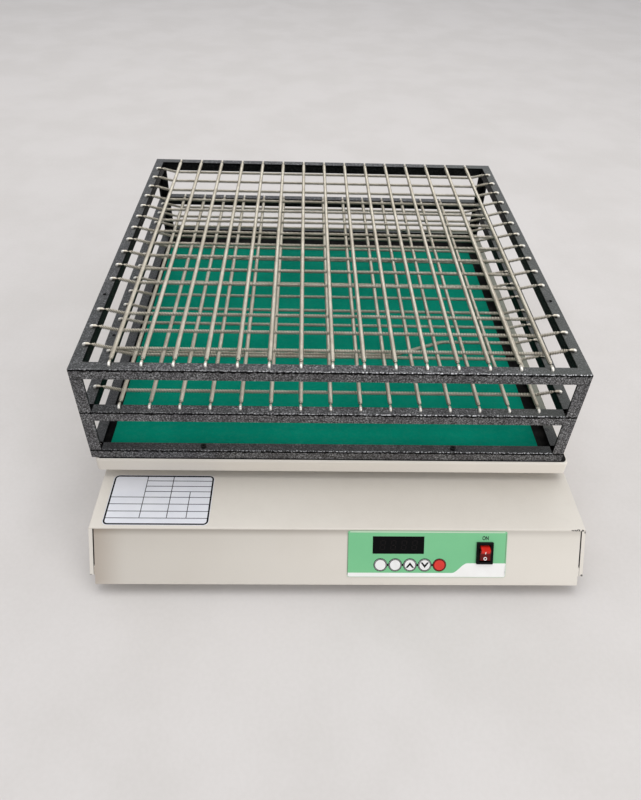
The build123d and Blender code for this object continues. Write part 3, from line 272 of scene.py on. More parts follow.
@effect(place=ORIGIN, way=TO_RIGHT, reach=0.01, facing=TO_FRONT)
def fade(place, way, reach, facing):
    """A soft fade from a place along one way, on the faces that look another way."""
    along = vectors("DOT_PRODUCT", away_from(place), way)
    faded = spread(ratio(along, reach), 1.0, 0.0)
    return {"Mask": times(faded, spread(looks_to(facing), 0.4, 0.7))}


@effect(middle=ORIGIN, inner=0.1, outer=0.2)
def square_ring(middle, inner, outer):
    """A band that runs round the rack between two distances from its middle."""
    sides = xyz(vectors("ABSOLUTE", away_from(middle)))
    out = math("MAXIMUM", sides["X"], sides["Y"])
    past = spread(minus(out, inner), -0.0003, 0.0003)
    before = spread(minus(out, outer), 0.0003, -0.0003)
    return {"Mask": times(past, before)}


@effect(middle=ORIGIN, out=0.2, pitch=0.02, last=7.0, size=0.003, shift=0.001)
def hook_shade(middle, out, pitch, last, size, shift):
    """Dark spots beside the holes that the side hooks go into."""
    place = xyz(away_from(middle))
    across = minus(math("ABSOLUTE", place["X"]), out)
    steps = ratio(math("ADD", place["Y"], shift), pitch)
    part = minus(steps, math("ROUND", steps))
    flat = add("ShaderNodeCombineXYZ", {"X": across, "Y": math("MULTIPLY", part, pitch)})
    spot = spread(ratio(vectors("LENGTH", flat.outputs[0]), size), 1.0, 0.45)
    past_last = minus(math("ABSOLUTE", steps), last)
    kept = times(spread(past_last, 0.5, 0.4), spread(face_lift(), 0.7, 0.9))
    return {"Mask": times(spot, kept)}


@effect(size=0.001, roughness=0.5)
def fine_relief(size, roughness):
    """The fine unevenness of a coat or a moulding, as a height."""
    return {"Height": noise(size, 3.0, Roughness=roughness)}


@effect(stretch=(1.0, 1.0, 1.0), size=0.0005)
def drawn_grain(stretch, size):
    """Fine streaks along a stretched direction, as on brushed or turned metal."""
    scaled = vectors("MULTIPLY", place_on_object(), stretch)
    return {"Mask": spread(noise(size, 2.0, spot=scaled), 0.3, 0.7)}


@effect(cell_size=0.0016, stir=0.0006)
def hammered_skin(cell_size, stir):
    """The cells that hammered paint dries into: a height, and how much silver shows."""
    spot = place_on_object()
    swirl = add("ShaderNodeTexNoise", {"Vector": spot, "Scale": ratio(0.8, cell_size), "Detail": 2.0})
    shift = add("ShaderNodeVectorMath", {0: swirl.outputs["Color"], "Scale": stir}, operation="SCALE")
    moved = vectors("ADD", spot, shift.outputs[0])
    cells = add("ShaderNodeTexVoronoi", {"Vector": moved, "Scale": ratio(1.0, cell_size)},
                feature="DISTANCE_TO_EDGE")
    inside = spread(cells.outputs["Distance"], 0.02, 0.24)
    flow = noise(cell_size, 3.0, 1.5, moved, Roughness=0.6, Distortion=0.7)
    drawn_up = spread(flow, 0.43, 0.58)
    return {"Height": times(inside, spread(flow, 0.2, 0.8, 0.4, 1.0)),
            "Silver": times(drawn_up, spread(inside, 0.0, 1.0, 0.3, 1.0))}


@effect(place=ORIGIN, reach=(0.004, 0.001, 0.001), size=0.002)
def chip_mark(place, reach, size):
    """A ragged spot round one place, where paint has been knocked off."""
    near = spread(vectors("LENGTH", vectors("DIVIDE", away_from(place), reach)), 1.0, 0.6)
    ragged = spread(noise(size, 4.0), 0.46, 0.5)
    return {"Mask": times(near, ragged)}


# Finishes, kept by name; colours are given as they show on a screen

finishes = {}
DUST = (190, 183, 172)


def start_finish(name):
    """An empty material, kept under its name, whose nodes come next."""
    finishes[name] = bpy.data.materials.new(name)
    finishes[name].use_nodes = True
    build_in(finishes[name].node_tree)


def finish(build):
    """Makes the finish of a function's name with the nodes that it adds."""
    start_finish(build.__name__)
    build()
    return finishes[build.__name__]


def shader(**values):
    """Values or links for the shader's own sockets."""
    feed(building[0].nodes["Principled BSDF"].inputs,
         {socket_name(name): value for name, value in values.items()})


def relief(height, depth, strength=1.0):
    """A normal from a height, with its depth in metres."""
    return add("ShaderNodeBump", {"Height": height, "Distance": depth, "Strength": strength}).outputs[0]


def fine_normal(size, depth, roughness=0.5):
    """The normal of a fine relief."""
    return relief(use(fine_relief, size=size, roughness=roughness)["Height"], depth)


def toned(color, shade, patch_size, patch, mottle_size, mottle):
    """A colour with large patches and fine mottle of another, each with its size and amount."""
    return use(uneven_tone, color=paint_rgb(*color), shade=paint_rgb(*shade), patch_size=patch_size,
               patch_amount=patch, mottle_size=mottle_size, mottle_amount=mottle)


def coated(name, color, shade, roughness, relief_size, relief_depth, patch=0.12, patch_size=0.06, mottle=0.08,
           dust=0.1, gloss=0.5, wear=0.0, bare_and_side_shade=(0, 0, 0), metal=0.0, chips=(), fades=(), flat_to=None):
    """Paint, rubber, plastic or card: a toned coat with fine relief, dust, worn edges, chips and fades."""
    start_finish(name)
    tone = toned(color, shade, patch_size, patch, 0.0015, mottle)
    shown = tint(tone["Color"], mask(dust_and_top_shade, amount=dust, size=0.02), DUST)
    if wear:
        shown = tint(shown, mask(worn_edges, radius=0.0008, amount=wear, break_up=0.005), bare_and_side_shade)
    for place, reach, size in chips:
        shown = tint(shown, mask(chip_mark, place=place, reach=reach, size=size), bare_and_side_shade)
    # Each fade lays a colour over the coat; on the base, the tray and the cover most paint shade and light.
    for place, way, reach, facing, fade_color, amount in fades:
        faded = mask(fade, place=place, way=way, reach=reach, facing=facing)
        shown = tint(shown, faded, fade_color, amount)
    # Painted shade: faces that turn away from flat_to, such as the keys' sides, take a dark colour.
    if flat_to:
        shown = tint(shown, spread(looks_to(flat_to), 0.85, 0.6), bare_and_side_shade)
    shader(base_color=shown, metallic=metal, specular_ior_level=gloss,
           roughness=spread(tone["Mask"], 0.0, patch + mottle + 0.01, roughness, roughness + 0.12),
           normal=fine_normal(relief_size, relief_depth))


def painted(name, color, shade, patch_size, **marks):
    """The powder coat of the base and the tray, worn to the steel at its edges."""
    coated(name, color, shade, 0.46, 0.0011, 0.00003, patch=0.3, patch_size=patch_size, wear=0.25,
           bare_and_side_shade=(58, 54, 50), **marks)


def printed(name, color, shade, roughness=0.4, patch=0.4, patch_size=0.01, **more):
    """A printed ink; also the painted shadow lines at the film's sides."""
    coated(name, color, shade, roughness, 0.0006, 0.00001, patch=patch, patch_size=patch_size, **more)


def machined(name, color, shade, roughness, stretch=(0.15, 0.15, 6.0), grain_size=0.0006, depth=0.00002):
    """Bare or plated metal with a drawn or ground grain, or turned if no stretch is given."""
    start_finish(name)
    tone = toned(color, shade, 0.03, 0.25, 0.002, 0.12)
    grain = mask(drawn_grain, stretch=stretch, size=grain_size)
    shown = tint(tone["Color"], mask(dust_and_top_shade, amount=0.06, size=0.015), DUST)
    shader(base_color=shown, metallic=1.0,
           roughness=spread(grain, 0.0, 1.0, roughness, roughness + 0.15),
           normal=relief(grain, depth))


# Places read from the frame

rack_low, rack_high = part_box("rack_top_frame")
cover_low, cover_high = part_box("top_cover")
rack_middle = (rack_low + rack_high) / 2
rack_half = (rack_high.x - rack_low.x) / 2
top_height = rack_high.z
middle_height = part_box("rack_middle_frame")[1].z
rack_levels = (top_height, middle_height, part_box("rack_bottom_frame")[1].z)
cover_front = min(v.co.y for v in nodes["top_cover"].data.vertices if v.co.z > cover_high.z - 2 * MM)
panel_faces = nodes["control_overlay"].data
panel_out = max((p for p in panel_faces.polygons if p.normal.y < -0.5), key=lambda p: p.area).normal.copy()
panel_up = RIGHT.cross(panel_out) * -1
spring_count = 15
spring_pitch = 27.25 * MM
missing_top_cross = 3
strayed_cross = 3
tube_size = 11 * MM
hook_inset = 6 * MM
twist = 1.8 * MM
body_gap = 0.8 * MM


# Paint of the base, its cover and the tray

off_white = (222, 216, 206)
off_white_shade = (210, 202, 190)
# Colours for painted shade, and a brown for the base's left end
left_end_brown = (122, 94, 64)
shade_grey = (110, 99, 86)
gap_shade = (16, 15, 14)
edge_height = cover_high.z - 0.6 * MM
foot_height = cover_low.z + 0.6 * MM
left_end = (cover_low.x, 0.0, 0.0)
right_end = (cover_high.x, 0.0, 0.0)
under_cover = (0.0, 0.0, cover_high.z - 1.5 * MM)
gap_floor = (0.0, 0.0, cover_low.z + 2 * MM)


def mm(*sizes):
    """Sizes in millimetres as metres."""
    return tuple(size * MM for size in sizes)


# Chips: a place, how far the chip reaches from it, and the size of its ragged edge

cover_chips = [
    ((cover_high.x - 5.5 * MM, cover_front, edge_height), mm(6.5, 1.5, 1.5), 1.9 * MM),
    ((cover_high.x - 11 * MM, cover_front, edge_height), mm(3.4, 1.0, 1.0), 1.1 * MM),
    ((cover_high.x - 0.5 * MM, cover_front, edge_height - 3 * MM), mm(1.2, 1.5, 2.6), 1.4 * MM),
    ((cover_high.x - 1 * MM, cover_low.y, foot_height), mm(1.8, 1.8, 1.6), 1.3 * MM),
    ((cover_low.x + 1 * MM, cover_low.y, foot_height), mm(1.6, 1.6, 1.4), 1.3 * MM),
]

# Fades: a place, the way they run and how far, the way the faces look, the colour and its amount

painted("base_paint", off_white, off_white_shade, 0.12, fades=[
    # Painted shadow under the cover's front edge, eased by painted light towards the right, with a broad soft
    # painted shade below it
    (under_cover, DOWN, 6 * MM, TO_FRONT, shade_grey, 0.5),
    (right_end, TO_LEFT, 300 * MM, TO_FRONT, off_white, 0.5),
    (under_cover, DOWN, 26 * MM, TO_FRONT, shade_grey, 0.07),
    # Painted shade darker towards the left, away from the light; browner and darker still at the left end
    (left_end, TO_RIGHT, 330 * MM, TO_FRONT, shade_grey, 0.2),
    (left_end, TO_RIGHT, 36 * MM, TO_FRONT, left_end_brown, 0.4),
    # The bottom of the front toned towards the coat's shade colour
    ((0.0, 0.0, 4 * MM), UP, 12 * MM, TO_FRONT, off_white_shade, 0.5),
    # Painted shade on the sideways faces seen in the slots at the ends of the front
    (gap_floor, DOWN, 2 * MM, TO_RIGHT, gap_shade, 0.85),
    (gap_floor, DOWN, 2 * MM, TO_LEFT, gap_shade, 0.85),
])
# Painted shade: the tray's front darker towards the left, away from the light.
painted("tray_paint", (236, 229, 218), off_white, 0.1,
        fades=[(left_end, TO_RIGHT, 470 * MM, TO_FRONT, shade_grey, 0.2)])
painted("cover_paint", off_white, off_white_shade, 0.12, chips=cover_chips, fades=[
    # Painted shade inside the slots at the ends of the front
    ((cover_high.x - 8 * MM, 0.0, 0.0), TO_LEFT, 4 * MM, TO_LEFT, gap_shade, 0.92),
    ((cover_low.x + 8 * MM, 0.0, 0.0), TO_RIGHT, 4 * MM, TO_RIGHT, gap_shade, 0.8),
])


# Finishes with a make of their own

def top_fade(place, way, reach):
    """A fade on the faces that look up."""
    return mask(fade, place=place, way=way, reach=reach, facing=UP)


@finish
def hammertone():
    """Black and silver hammered paint: silver at the cells, black in the veins, with less coat along the
    upper edges and on the inner faces. The inner faces are painted black as shade."""
    skin = use(hammered_skin, cell_size=0.0023, stir=0.0016)
    inner = mask(inner_side, middle=rack_middle)
    # Painted shade: on the inner faces the silver gives way to black.
    silver = times(skin["Silver"], spread(inner, 0.0, 1.0, 0.8, 0.05))
    right_top_light = top_fade((rack_high.x - 2 * tube_size, 0.0, 0.0), TO_LEFT, 0.09)
    left_top_shade = top_fade((rack_low.x + 2 * tube_size, 0.0, 0.0), TO_RIGHT, 0.06)
    low_top_shade = top_fade((0.0, 0.0, rack_levels[-1] + 1 * MM), UP, 0.003)
    behind_front = top_fade((0.0, rack_low.y + 8 * tube_size, 0.0), TO_FRONT, 6 * tube_size)
    spots = mask(hook_shade, middle=rack_middle, out=rack_half - hook_inset - 1.8 * MM,
                 pitch=spring_pitch, last=(spring_count - 1) / 2, size=3.4 * MM, shift=1.2 * MM)
    tone = toned((190, 191, 192), (114, 110, 116), 0.02, 0.5, 0.003, 0.5)
    shown = mix_colors(silver, paint_rgb(14, 14, 15), tone["Color"])
    for where, color, amount in (
            # patchy painted shade on the top faces
            (mask(dust_and_top_shade, amount=0.6, size=0.012), (40, 44, 42), 1.0),
            # painted light: the top faces toward the right evened to a smooth greenish grey
            (right_top_light, (74, 77, 72), 0.7),
            # painted shade: the top faces toward the left darker
            (left_top_shade, (34, 36, 34), 0.5),
            # painted shade on the bottom frame's top
            (low_top_shade, (10, 10, 11), 0.6),
            # painted highlight: the window light on the bottom frame's top at the back right
            (times(right_top_light, times(low_top_shade, behind_front)), (150, 152, 136), 0.8),
            # painted shadows beside the side hooks
            (spots, (12, 13, 12), 0.85)):
        shown = tint(shown, where, color, amount)
    dull = inner
    # Along the upper edges, a painted dark reflection under the rounding and painted glints at the front.
    for level in rack_levels:
        rounds = use(upper_rounds, level=level, front=rack_low.y, left=rack_low.x, right=rack_high.x,
                     band=0.0016, break_up=0.0017)
        shown = tint(shown, rounds["Thin Band"], (3, 3, 4))
        shown = tint(shown, rounds["Glints"], (228, 228, 231))
        dull = math("MAXIMUM", dull, rounds["Thin Band"])
    shader(base_color=shown, coat_weight=spread(dull, 0.0, 1.0, 0.4, 0.02), coat_roughness=0.2,
           specular_ior_level=spread(dull, 0.0, 1.0, 0.5, 0.05),
           metallic=spread(silver, 0.1, 0.9, 0.1, 0.6),
           roughness=spread(silver, 0.0, 1.0, 0.5, 0.3),
           normal=relief(skin["Height"], 0.0005, 0.85))


@finish
def spring_steel():
    """Drawn stainless wire, with painted shade that makes it brown-grey low down and dark at the twist
    between a hook and its coils, and a painted highlight that makes the hooks brightest."""
    tone = toned((228, 221, 205), (182, 172, 154), 0.02, 0.45, 0.0012, 0.25)
    coils_end = rack_half - tube_size - body_gap
    twist_shade = mask(square_ring, middle=rack_middle, inner=coils_end - twist, outer=coils_end)
    hooks = mask(square_ring, middle=rack_middle, inner=rack_half - hook_inset - 2 * MM, outer=rack_half)
    # Painted shade where the wire faces down and at the twist, and a painted highlight on the hooks.
    shown = tint(tone["Color"], spread(face_lift(), 0.5, -0.3, 0.0, 0.75), (84, 74, 58))
    shown = tint(shown, twist_shade, (58, 50, 40), 0.7)
    shown = tint(shown, hooks, (255, 252, 244), 0.8)
    shader(base_color=shown, metallic=0.55, roughness=spread(tone["Mask"], 0.0, 0.7, 0.3, 0.44),
           normal=fine_normal(0.0003, 0.00002, 0.6))


@finish
def green_mat():
    """Green rubber with a fine crossed rib."""
    tone = toned((0, 146, 120), (2, 124, 103), 0.09, 0.45, 0.0016, 0.25)
    ribs = [add("ShaderNodeTexWave", {"Vector": place_on_object(), "Scale": 420.0, "Distortion": 0.4},
                bands_direction=way).outputs["Fac"] for way in ("X", "Y")]
    weave = times(ribs[0], ribs[1])
    shown = tint(tone["Color"], spread(weave, 0.0, 0.9, 0.15, 0.0), (0, 96, 78))
    shown = tint(shown, mask(dust_and_top_shade, amount=0.015, size=0.004), DUST)
    shader(base_color=shown, specular_ior_level=0.04,
           roughness=spread(tone["Mask"], 0.0, 0.7, 0.72, 0.9),
           normal=relief(weave, 0.00012, 0.7))


@finish
def overlay_film():
    """Light green printed film with a soft darkening across it."""
    tone = toned((126, 198, 144), (100, 180, 128), 0.11, 0.35, 0.001, 0.06)
    shader(base_color=tone["Color"], specular_ior_level=0.45,
           roughness=spread(tone["Mask"], 0.0, 0.4, 0.3, 0.42),
           normal=fine_normal(0.0004, 0.00001))


@finish
def rocker_red():
    """Clear red plastic, bright at its top where the light falls, with painted shade low down and a painted
    dark reflection of the black bezel at its sides.
    """
    low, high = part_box("rocker_button")
    tall = high.z - low.z
    tone = toned((222, 44, 30), (168, 22, 16), 0.004, 0.4, 0.001, 0.2)
    place = xyz(place_on_object())
    # Painted shade low down on the rocker.
    depth = spread(place["Z"], low.z + 0.8 * tall, low.z + 0.64 * tall, 0.0, 0.82)
    across = math("ABSOLUTE", minus(place["X"], (low.x + high.x) / 2))
    # A painted dark reflection of the bezel at the rocker's sides.
    sides = spread(across, 3.8 * MM, 4.6 * MM, 0.0, 0.95)
    shown = tint(tone["Color"], math("MAXIMUM", depth, sides), (26, 5, 5))
    shader(base_color=shown, coat_weight=0.1, coat_roughness=0.15, specular_ior_level=0.15,
           roughness=spread(tone["Mask"], 0.0, 0.6, 0.18, 0.3),
           normal=fine_normal(0.0012, 0.00001))


@finish
def supply_case():
    """Zinc sheet with its crystal flakes."""
    flakes = add("ShaderNodeTexVoronoi", {"Vector": place_on_object(), "Scale": 140.0})
    shade = xyz(flakes.outputs["Color"])["X"]
    tone = toned((196, 198, 200), (140, 143, 146), 0.04, 0.3, 0.001, 0.1)
    shown = tint(tone["Color"], spread(shade, 0.0, 1.0, 0.0, 0.35), (120, 124, 128))
    shader(base_color=shown, metallic=0.9, roughness=spread(shade, 0.0, 1.0, 0.32, 0.5),
           normal=fine_normal(0.0006, 0.00002))


@finish
def circuit_board():
    """Green solder mask with darker fields of track."""
    lines = add("ShaderNodeTexVoronoi", {"Vector": place_on_object(), "Scale": 260.0}, distance="CHEBYCHEV")
    track = spread(lines.outputs["Distance"], 0.32, 0.4)
    tone = toned((24, 104, 58), (12, 70, 38), 0.02, 0.4, 0.001, 0.1)
    shader(base_color=tint(tone["Color"], track, (10, 52, 30), 0.5), specular_ior_level=0.5,
           roughness=spread(track, 0.0, 1.0, 0.3, 0.42), normal=relief(track, 0.00003))


@finish
def stator_copper():
    """Enamelled copper over a laminated core."""
    strands = add("ShaderNodeTexWave", {"Vector": place_on_object(), "Scale": 380.0, "Distortion": 1.2},
                  bands_direction="Z").outputs["Fac"]
    tone = toned((190, 112, 62), (120, 62, 34), 0.02, 0.4, 0.001, 0.2)
    shown = tint(tone["Color"], spread(strands, 0.0, 0.5, 0.6, 0.0), (70, 34, 20))
    shader(base_color=shown, metallic=0.7, roughness=spread(strands, 0.0, 1.0, 0.5, 0.3),
           normal=relief(strands, 0.0001, 0.6))


@finish
def floor_cloth():
    """The plain pale floor."""
    tone = toned((214, 210, 207), (205, 201, 197), 0.14, 0.5, 0.004, 0.2)
    shader(base_color=tone["Color"], roughness=0.9, specular_ior_level=0.1)


# Coats, metals and inks: a name, the colour and its shade, the roughness and, for a coat, the size and
# depth of its relief

# The black liner is a dark sheet that stands in for the shade round the mat's edges.
coated("black_liner", (16, 16, 17), (9, 9, 10), 0.7, 0.0012, 0.00006, patch=0.4, dust=0.04, gloss=0.12)
coated("foot_rubber", (34, 34, 35), (18, 18, 19), 0.72, 0.0014, 0.00008, patch=0.4, patch_size=0.01, dust=0.2,
       gloss=0.3)
coated("black_screws", (10, 10, 10), (6, 6, 6), 0.4, 0.0006, 0.00002, dust=0.02, gloss=0.2)
coated("label_card", (231, 232, 237), (220, 222, 229), 0.34, 0.0009, 0.00001, patch=0.5, patch_size=0.03,
       mottle=0.1, dust=0.05, gloss=0.45)
coated("window_black", (4, 4, 4), (2, 2, 2), 0.1, 0.003, 0.000004, patch=0.5, patch_size=0.02, dust=0.0,
       gloss=0.12)
coated("display_black", (30, 30, 31), (16, 16, 17), 0.4, 0.0008, 0.00002)
coated("switch_black", (32, 32, 33), (18, 18, 19), 0.42, 0.0009, 0.00003, dust=0.08)
# The keys' sides, which turn away from the panel, are painted dark as shade.
coated("key_white", (238, 238, 236), (222, 220, 216), 0.3, 0.0007, 0.00001, patch=0.4, patch_size=0.008,
       dust=0.05, bare_and_side_shade=(20, 20, 20), flat_to=panel_out)
coated("key_red", (220, 50, 36), (186, 36, 26), 0.3, 0.0007, 0.00001, patch=0.4, patch_size=0.008, dust=0.04,
       bare_and_side_shade=(40, 10, 8), flat_to=panel_out)
coated("bezel_black", (5, 5, 5), (3, 3, 3), 0.34, 0.001, 0.00001, patch=0.3, dust=0.0, gloss=0.1)
coated("cast_aluminium", (170, 171, 172), (128, 129, 131), 0.48, 0.0012, 0.00008, patch=0.4, patch_size=0.02,
       metal=0.85, dust=0.08)
coated("rotor_paint", (44, 44, 47), (24, 24, 26), 0.4, 0.001, 0.00004, wear=0.4, bare_and_side_shade=(130, 130, 130))
coated("belt_rubber", (30, 30, 31), (14, 14, 15), 0.66, 0.0008, 0.00005, patch=0.4, patch_size=0.02,
       gloss=0.3)
coated("weight_iron", (66, 66, 68), (38, 38, 40), 0.46, 0.0013, 0.00006, patch=0.5, patch_size=0.02,
       metal=0.6, wear=0.5, bare_and_side_shade=(140, 138, 134))
machined("zinc_screws", (206, 206, 202), (150, 150, 144), 0.26, stretch=(1.0, 1.0, 1.0))
machined("brass_plate", (214, 182, 110), (160, 128, 70), 0.28)
machined("machined_aluminium", (216, 217, 218), (170, 171, 173), 0.26)
machined("machined_steel", (184, 184, 182), (130, 130, 130), 0.24)
machined("bearing_steel", (214, 214, 214), (160, 161, 163), 0.12, grain_size=0.0003, depth=0.000006)
machined("galvanised", (186, 189, 192), (138, 142, 146), 0.36, stretch=(0.04, 1.0, 1.0))
printed("ink_black", (14, 15, 15), (8, 8, 8), 0.5, 0.3, dust=0.0, gloss=0.15)
printed("ink_line", (44, 46, 52), (30, 32, 38))
printed("ink_green", (28, 66, 46), (18, 50, 34), patch=0.3)
printed("ink_white", (244, 243, 240), (232, 230, 226), 0.36, patch_size=0.02, dust=0.03)
printed("ink_pale", (190, 212, 186), (178, 204, 178), 0.36, patch_size=0.02, dust=0.03)
# Painted shadow along the film's sides, laid as a thin darker green layer.
printed("film_edge_shade", (112, 124, 104), (92, 104, 86), dust=0.0)
printed("unlit_red", (13, 8, 8), (9, 6, 6), 0.5, 0.3, 0.004, dust=0.0, gloss=0.12)


def dress(node, look):
    """Gives a carried-over piece its finish."""
    piece = nodes[node]
    if not piece.material_slots:
        piece.data.materials.append(finishes[look])
    for slot in piece.material_slots:
        slot.material = finishes[look]


for subpart in frame["record"]["subparts"]:
    dress(subpart["node"], subpart["material_slot"])
dress("top_cover", "cover_paint")


# Mesh helpers

def show(name, data):
    """An object in the scene."""
    made = bpy.data.objects.new(name, data)
    bpy.context.scene.collection.objects.link(made)
    return made


def mesh_object(name, mesh, look, body):
    """A mesh shown with a finish, as a piece that rides on a body."""
    piece = show(name, mesh)
    mesh.materials.clear()
    mesh.materials.append(finishes[look])
    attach(piece, body)
    return piece


def tube(bm, points, sides_of, radii, sides):
    """A closed tube through points; sides_of gives the direction of its first corner at each point."""
    rings = []
    last = len(points) - 1
    for i, point in enumerate(points):
        along = (points[min(i + 1, last)] - points[max(i - 1, 0)]).normalized()
        side = sides_of[i] - along * sides_of[i].dot(along)
        side.normalize()
        other = along.cross(side)
        ring = []
        for k in range(sides):
            angle = 2 * pi * k / sides
            ring.append(bm.verts.new(point + (side * cos(angle) + other * sin(angle)) * radii[i]))
        rings.append(ring)
    for low, high in zip(rings, rings[1:]):
        for k in range(sides):
            n = (k + 1) % sides
            bm.faces.new((low[k], low[n], high[n], high[k]))
    bm.faces.new(rings[0][::-1])
    bm.faces.new(rings[-1])


def rounded_path(corners, radius, steps=5):
    """Points along straight runs whose corners are rounded off to a radius."""
    points = [corners[0]]
    for before, corner, after in zip(corners, corners[1:], corners[2:]):
        back = (before - corner).normalized()
        on = (after - corner).normalized()
        turn = pi - back.angle(on)
        reach = min(radius * tan(turn / 2), (before - corner).length / 2, (after - corner).length / 2)
        start = corner + back * reach
        end = corner + on * reach
        for k in range(steps + 1):
            t = k / steps
            points.append(start * (1 - t) ** 2 + corner * 2 * t * (1 - t) + end * t ** 2)
    points.append(corners[-1])
    return points


def finished_mesh(bm, name, smooth):
    """The mesh with its faces outwards."""
    bmesh.ops.recalc_face_normals(bm, faces=bm.faces)
    for face in bm.faces:
        face.smooth = smooth
    mesh = bpy.data.meshes.new(name)
    bm.to_mesh(mesh)
    bm.free()
    return mesh


# Stretched springs: real coils with a hook at each end, the first of each row made here and the
# others copied from it along the row

hook_rest = 0.1 * MM
hook_depth = 3.5 * MM
hook_bend = 1.3 * MM
wire_radius = 1.0 * MM
wire_root = 1.5 * MM
hook_radius = 1.35 * MM
root_radius = 0.75 * MM
body_radius = 2.1 * MM
body_sink = 0.2 * MM
coil_wire_radius = 0.66 * MM
coil_radius = body_radius - coil_wire_radius
coil_pitch = 1.45 * MM
coil_steps = 7
coil_wire_sides = 3
hook_wire_sides = 8
narrow_end = 0.4
cross_drop = 4.45 * MM
dip_end = 24.45 * MM
spring_bend = 20 * MM


def coil_points(path):
    """A helix round a path, tapering to its ends, with the direction out of the coil at each point."""
    lengths = [0.0]
    for a, b in zip(path, path[1:]):
        lengths.append(lengths[-1] + (b - a).length)
    total = lengths[-1]
    count = round(total / coil_pitch) * coil_steps
    taper = 1.2 * coil_pitch
    points = []
    outs = []
    leg = 0
    for i in range(count + 1):
        reached = total * i / count
        while leg < len(path) - 2 and reached > lengths[leg + 1]:
            leg += 1
        share = (reached - lengths[leg]) / (lengths[leg + 1] - lengths[leg])
        along = (path[leg + 1] - path[leg]).normalized()
        side = along.cross(UP).normalized()
        angle = 2 * pi * i / coil_steps
        out = side * cos(angle) + side.cross(along) * sin(angle)
        near_end = min(reached, total - reached) / taper
        swell = min(1.0, narrow_end + (1 - narrow_end) * near_end)
        points.append(path[leg].lerp(path[leg + 1], share) + out * coil_radius * swell)
        outs.append(out)
    return points, outs


def add_coil(bm, corners):
    """A spring's body along straight runs with rounded bends."""
    points, outs = coil_points(rounded_path(corners, spring_bend))
    tube(bm, points, outs, [coil_wire_radius] * len(points), coil_wire_sides)


def add_hook(bm, hole, inward, level, into_hole=True):
    """The wire from a spring's body over the tube and, if it is hooked in, down into its hole."""
    over = hole + UP * (hook_radius - wire_radius)
    corners = [over, over + inward * (tube_size - hook_inset - body_gap)]
    if into_hole:
        corners.insert(0, Vector((hole.x, hole.y, level - hook_depth)))
    wire = rounded_path(corners, hook_bend)
    radii = [hook_radius] * len(wire)
    past_tube = tube_size - hook_inset + body_gap
    for reach in (past_tube, past_tube + twist + wire_root):
        wire.append(hole + inward * reach)
        radii.append(root_radius)
    tube(bm, wire, [inward.cross(UP)] * len(wire), radii, hook_wire_sides)


def row_place(index, long_way, level):
    """The middles of a spring's two hooks, counted from the left or from the front."""
    along = (index - (spring_count - 1) / 2) * spring_pitch
    across = rack_half - hook_inset
    z = level + hook_rest + wire_radius
    places = []
    for side in (-across, across):
        x, y = (along, side) if long_way else (side, along)
        places.append(Vector((rack_middle.x + x, rack_middle.y + y, z)))
    return places


def body_start(hole, inward):
    """Where a spring's coils begin, past the tube's inner face and the twist of its hook."""
    return hole + inward * (tube_size - hook_inset + body_gap + twist) - UP * body_sink


def dipped(hole, inward):
    """Where a cross spring has come down far enough to pass under the first long spring."""
    return hole + inward * dip_end - UP * cross_drop


def make_row_tree():
    """Copies of a piece along a line, with one place left out if that is wanted."""
    tree = build_in(bpy.data.node_groups.new("row_of_copies", "GeometryNodeTree"))
    kinds = {"Piece": "Geometry", "Count": "Int", "Step": "Vector", "Left Out": "Int", "Finish": "Material"}
    for name, kind in kinds.items():
        tree.interface.new_socket(name=name, in_out="INPUT", socket_type=f"NodeSocket{kind}")
    tree.interface.new_socket(name="Row", in_out="OUTPUT", socket_type="NodeSocketGeometry")
    given = tree.nodes.new("NodeGroupInput").outputs
    line = add("GeometryNodeMeshLine", {"Count": given["Count"], "Offset": given["Step"]}, mode="OFFSET")
    index = add("GeometryNodeInputIndex")
    wanted = add("FunctionNodeCompare", {2: index.outputs[0], 3: given["Left Out"]}, data_type="INT",
                 operation="NOT_EQUAL")
    copies = add("GeometryNodeInstanceOnPoints", {"Points": line.outputs[0], "Instance": given["Piece"],
                                                  "Selection": wanted.outputs[0]})
    real = add("GeometryNodeRealizeInstances", {"Geometry": copies.outputs[0]})
    coated_row = add("GeometryNodeSetMaterial", {"Geometry": real.outputs[0], "Material": given["Finish"]})
    feed(tree.nodes.new("NodeGroupOutput").inputs, {"Row": coated_row.outputs[0]})
    return tree


row_tree = make_row_tree()


def row_of(name, mesh, look, body, count, step, left_out=-1):
    """A row of copies of a mesh, made by the row tree and turned into one plain mesh."""
    maker = show(f"{name}_maker", mesh)
    modifier = maker.modifiers.new("row", "NODES")
    modifier.node_group = row_tree
    values = {"Count": count, "Step": step, "Left Out": left_out, "Finish": finishes[look]}
    for socket in row_tree.interface.items_tree:
        if socket.in_out == "INPUT" and socket.name in values:
            modifier[socket.identifier] = values[socket.name]
    bpy.context.view_layer.update()
    evaluated = maker.evaluated_get(bpy.context.evaluated_depsgraph_get())
    row_mesh = bpy.data.meshes.new_from_object(evaluated)
    row_mesh.name = name
    maker.modifiers.remove(modifier)
    bpy.data.objects.remove(maker)
    return mesh_object(name, row_mesh, look, body)


def spring_row(name, node, level, long_way, left_out=-1):
    """All the springs of one level that run one way."""
    bm = bmesh.new()
    a, b = row_place(0, long_way, level)
    there = (b - a).normalized()
    corners = [body_start(a, there), body_start(b, -there)]
    if not long_way:
        corners[1:1] = [dipped(a, there), dipped(b, -there)]
    add_coil(bm, corners)
    add_hook(bm, a, there, level)
    add_hook(bm, b, -there, level)
    step = (spring_pitch, 0, 0) if long_way else (0, spring_pitch, 0)
    row = row_of(name, finished_mesh(bm, name, True), "spring_steel", "shaking_platform",
                 spring_count, step, left_out)
    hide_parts(node)


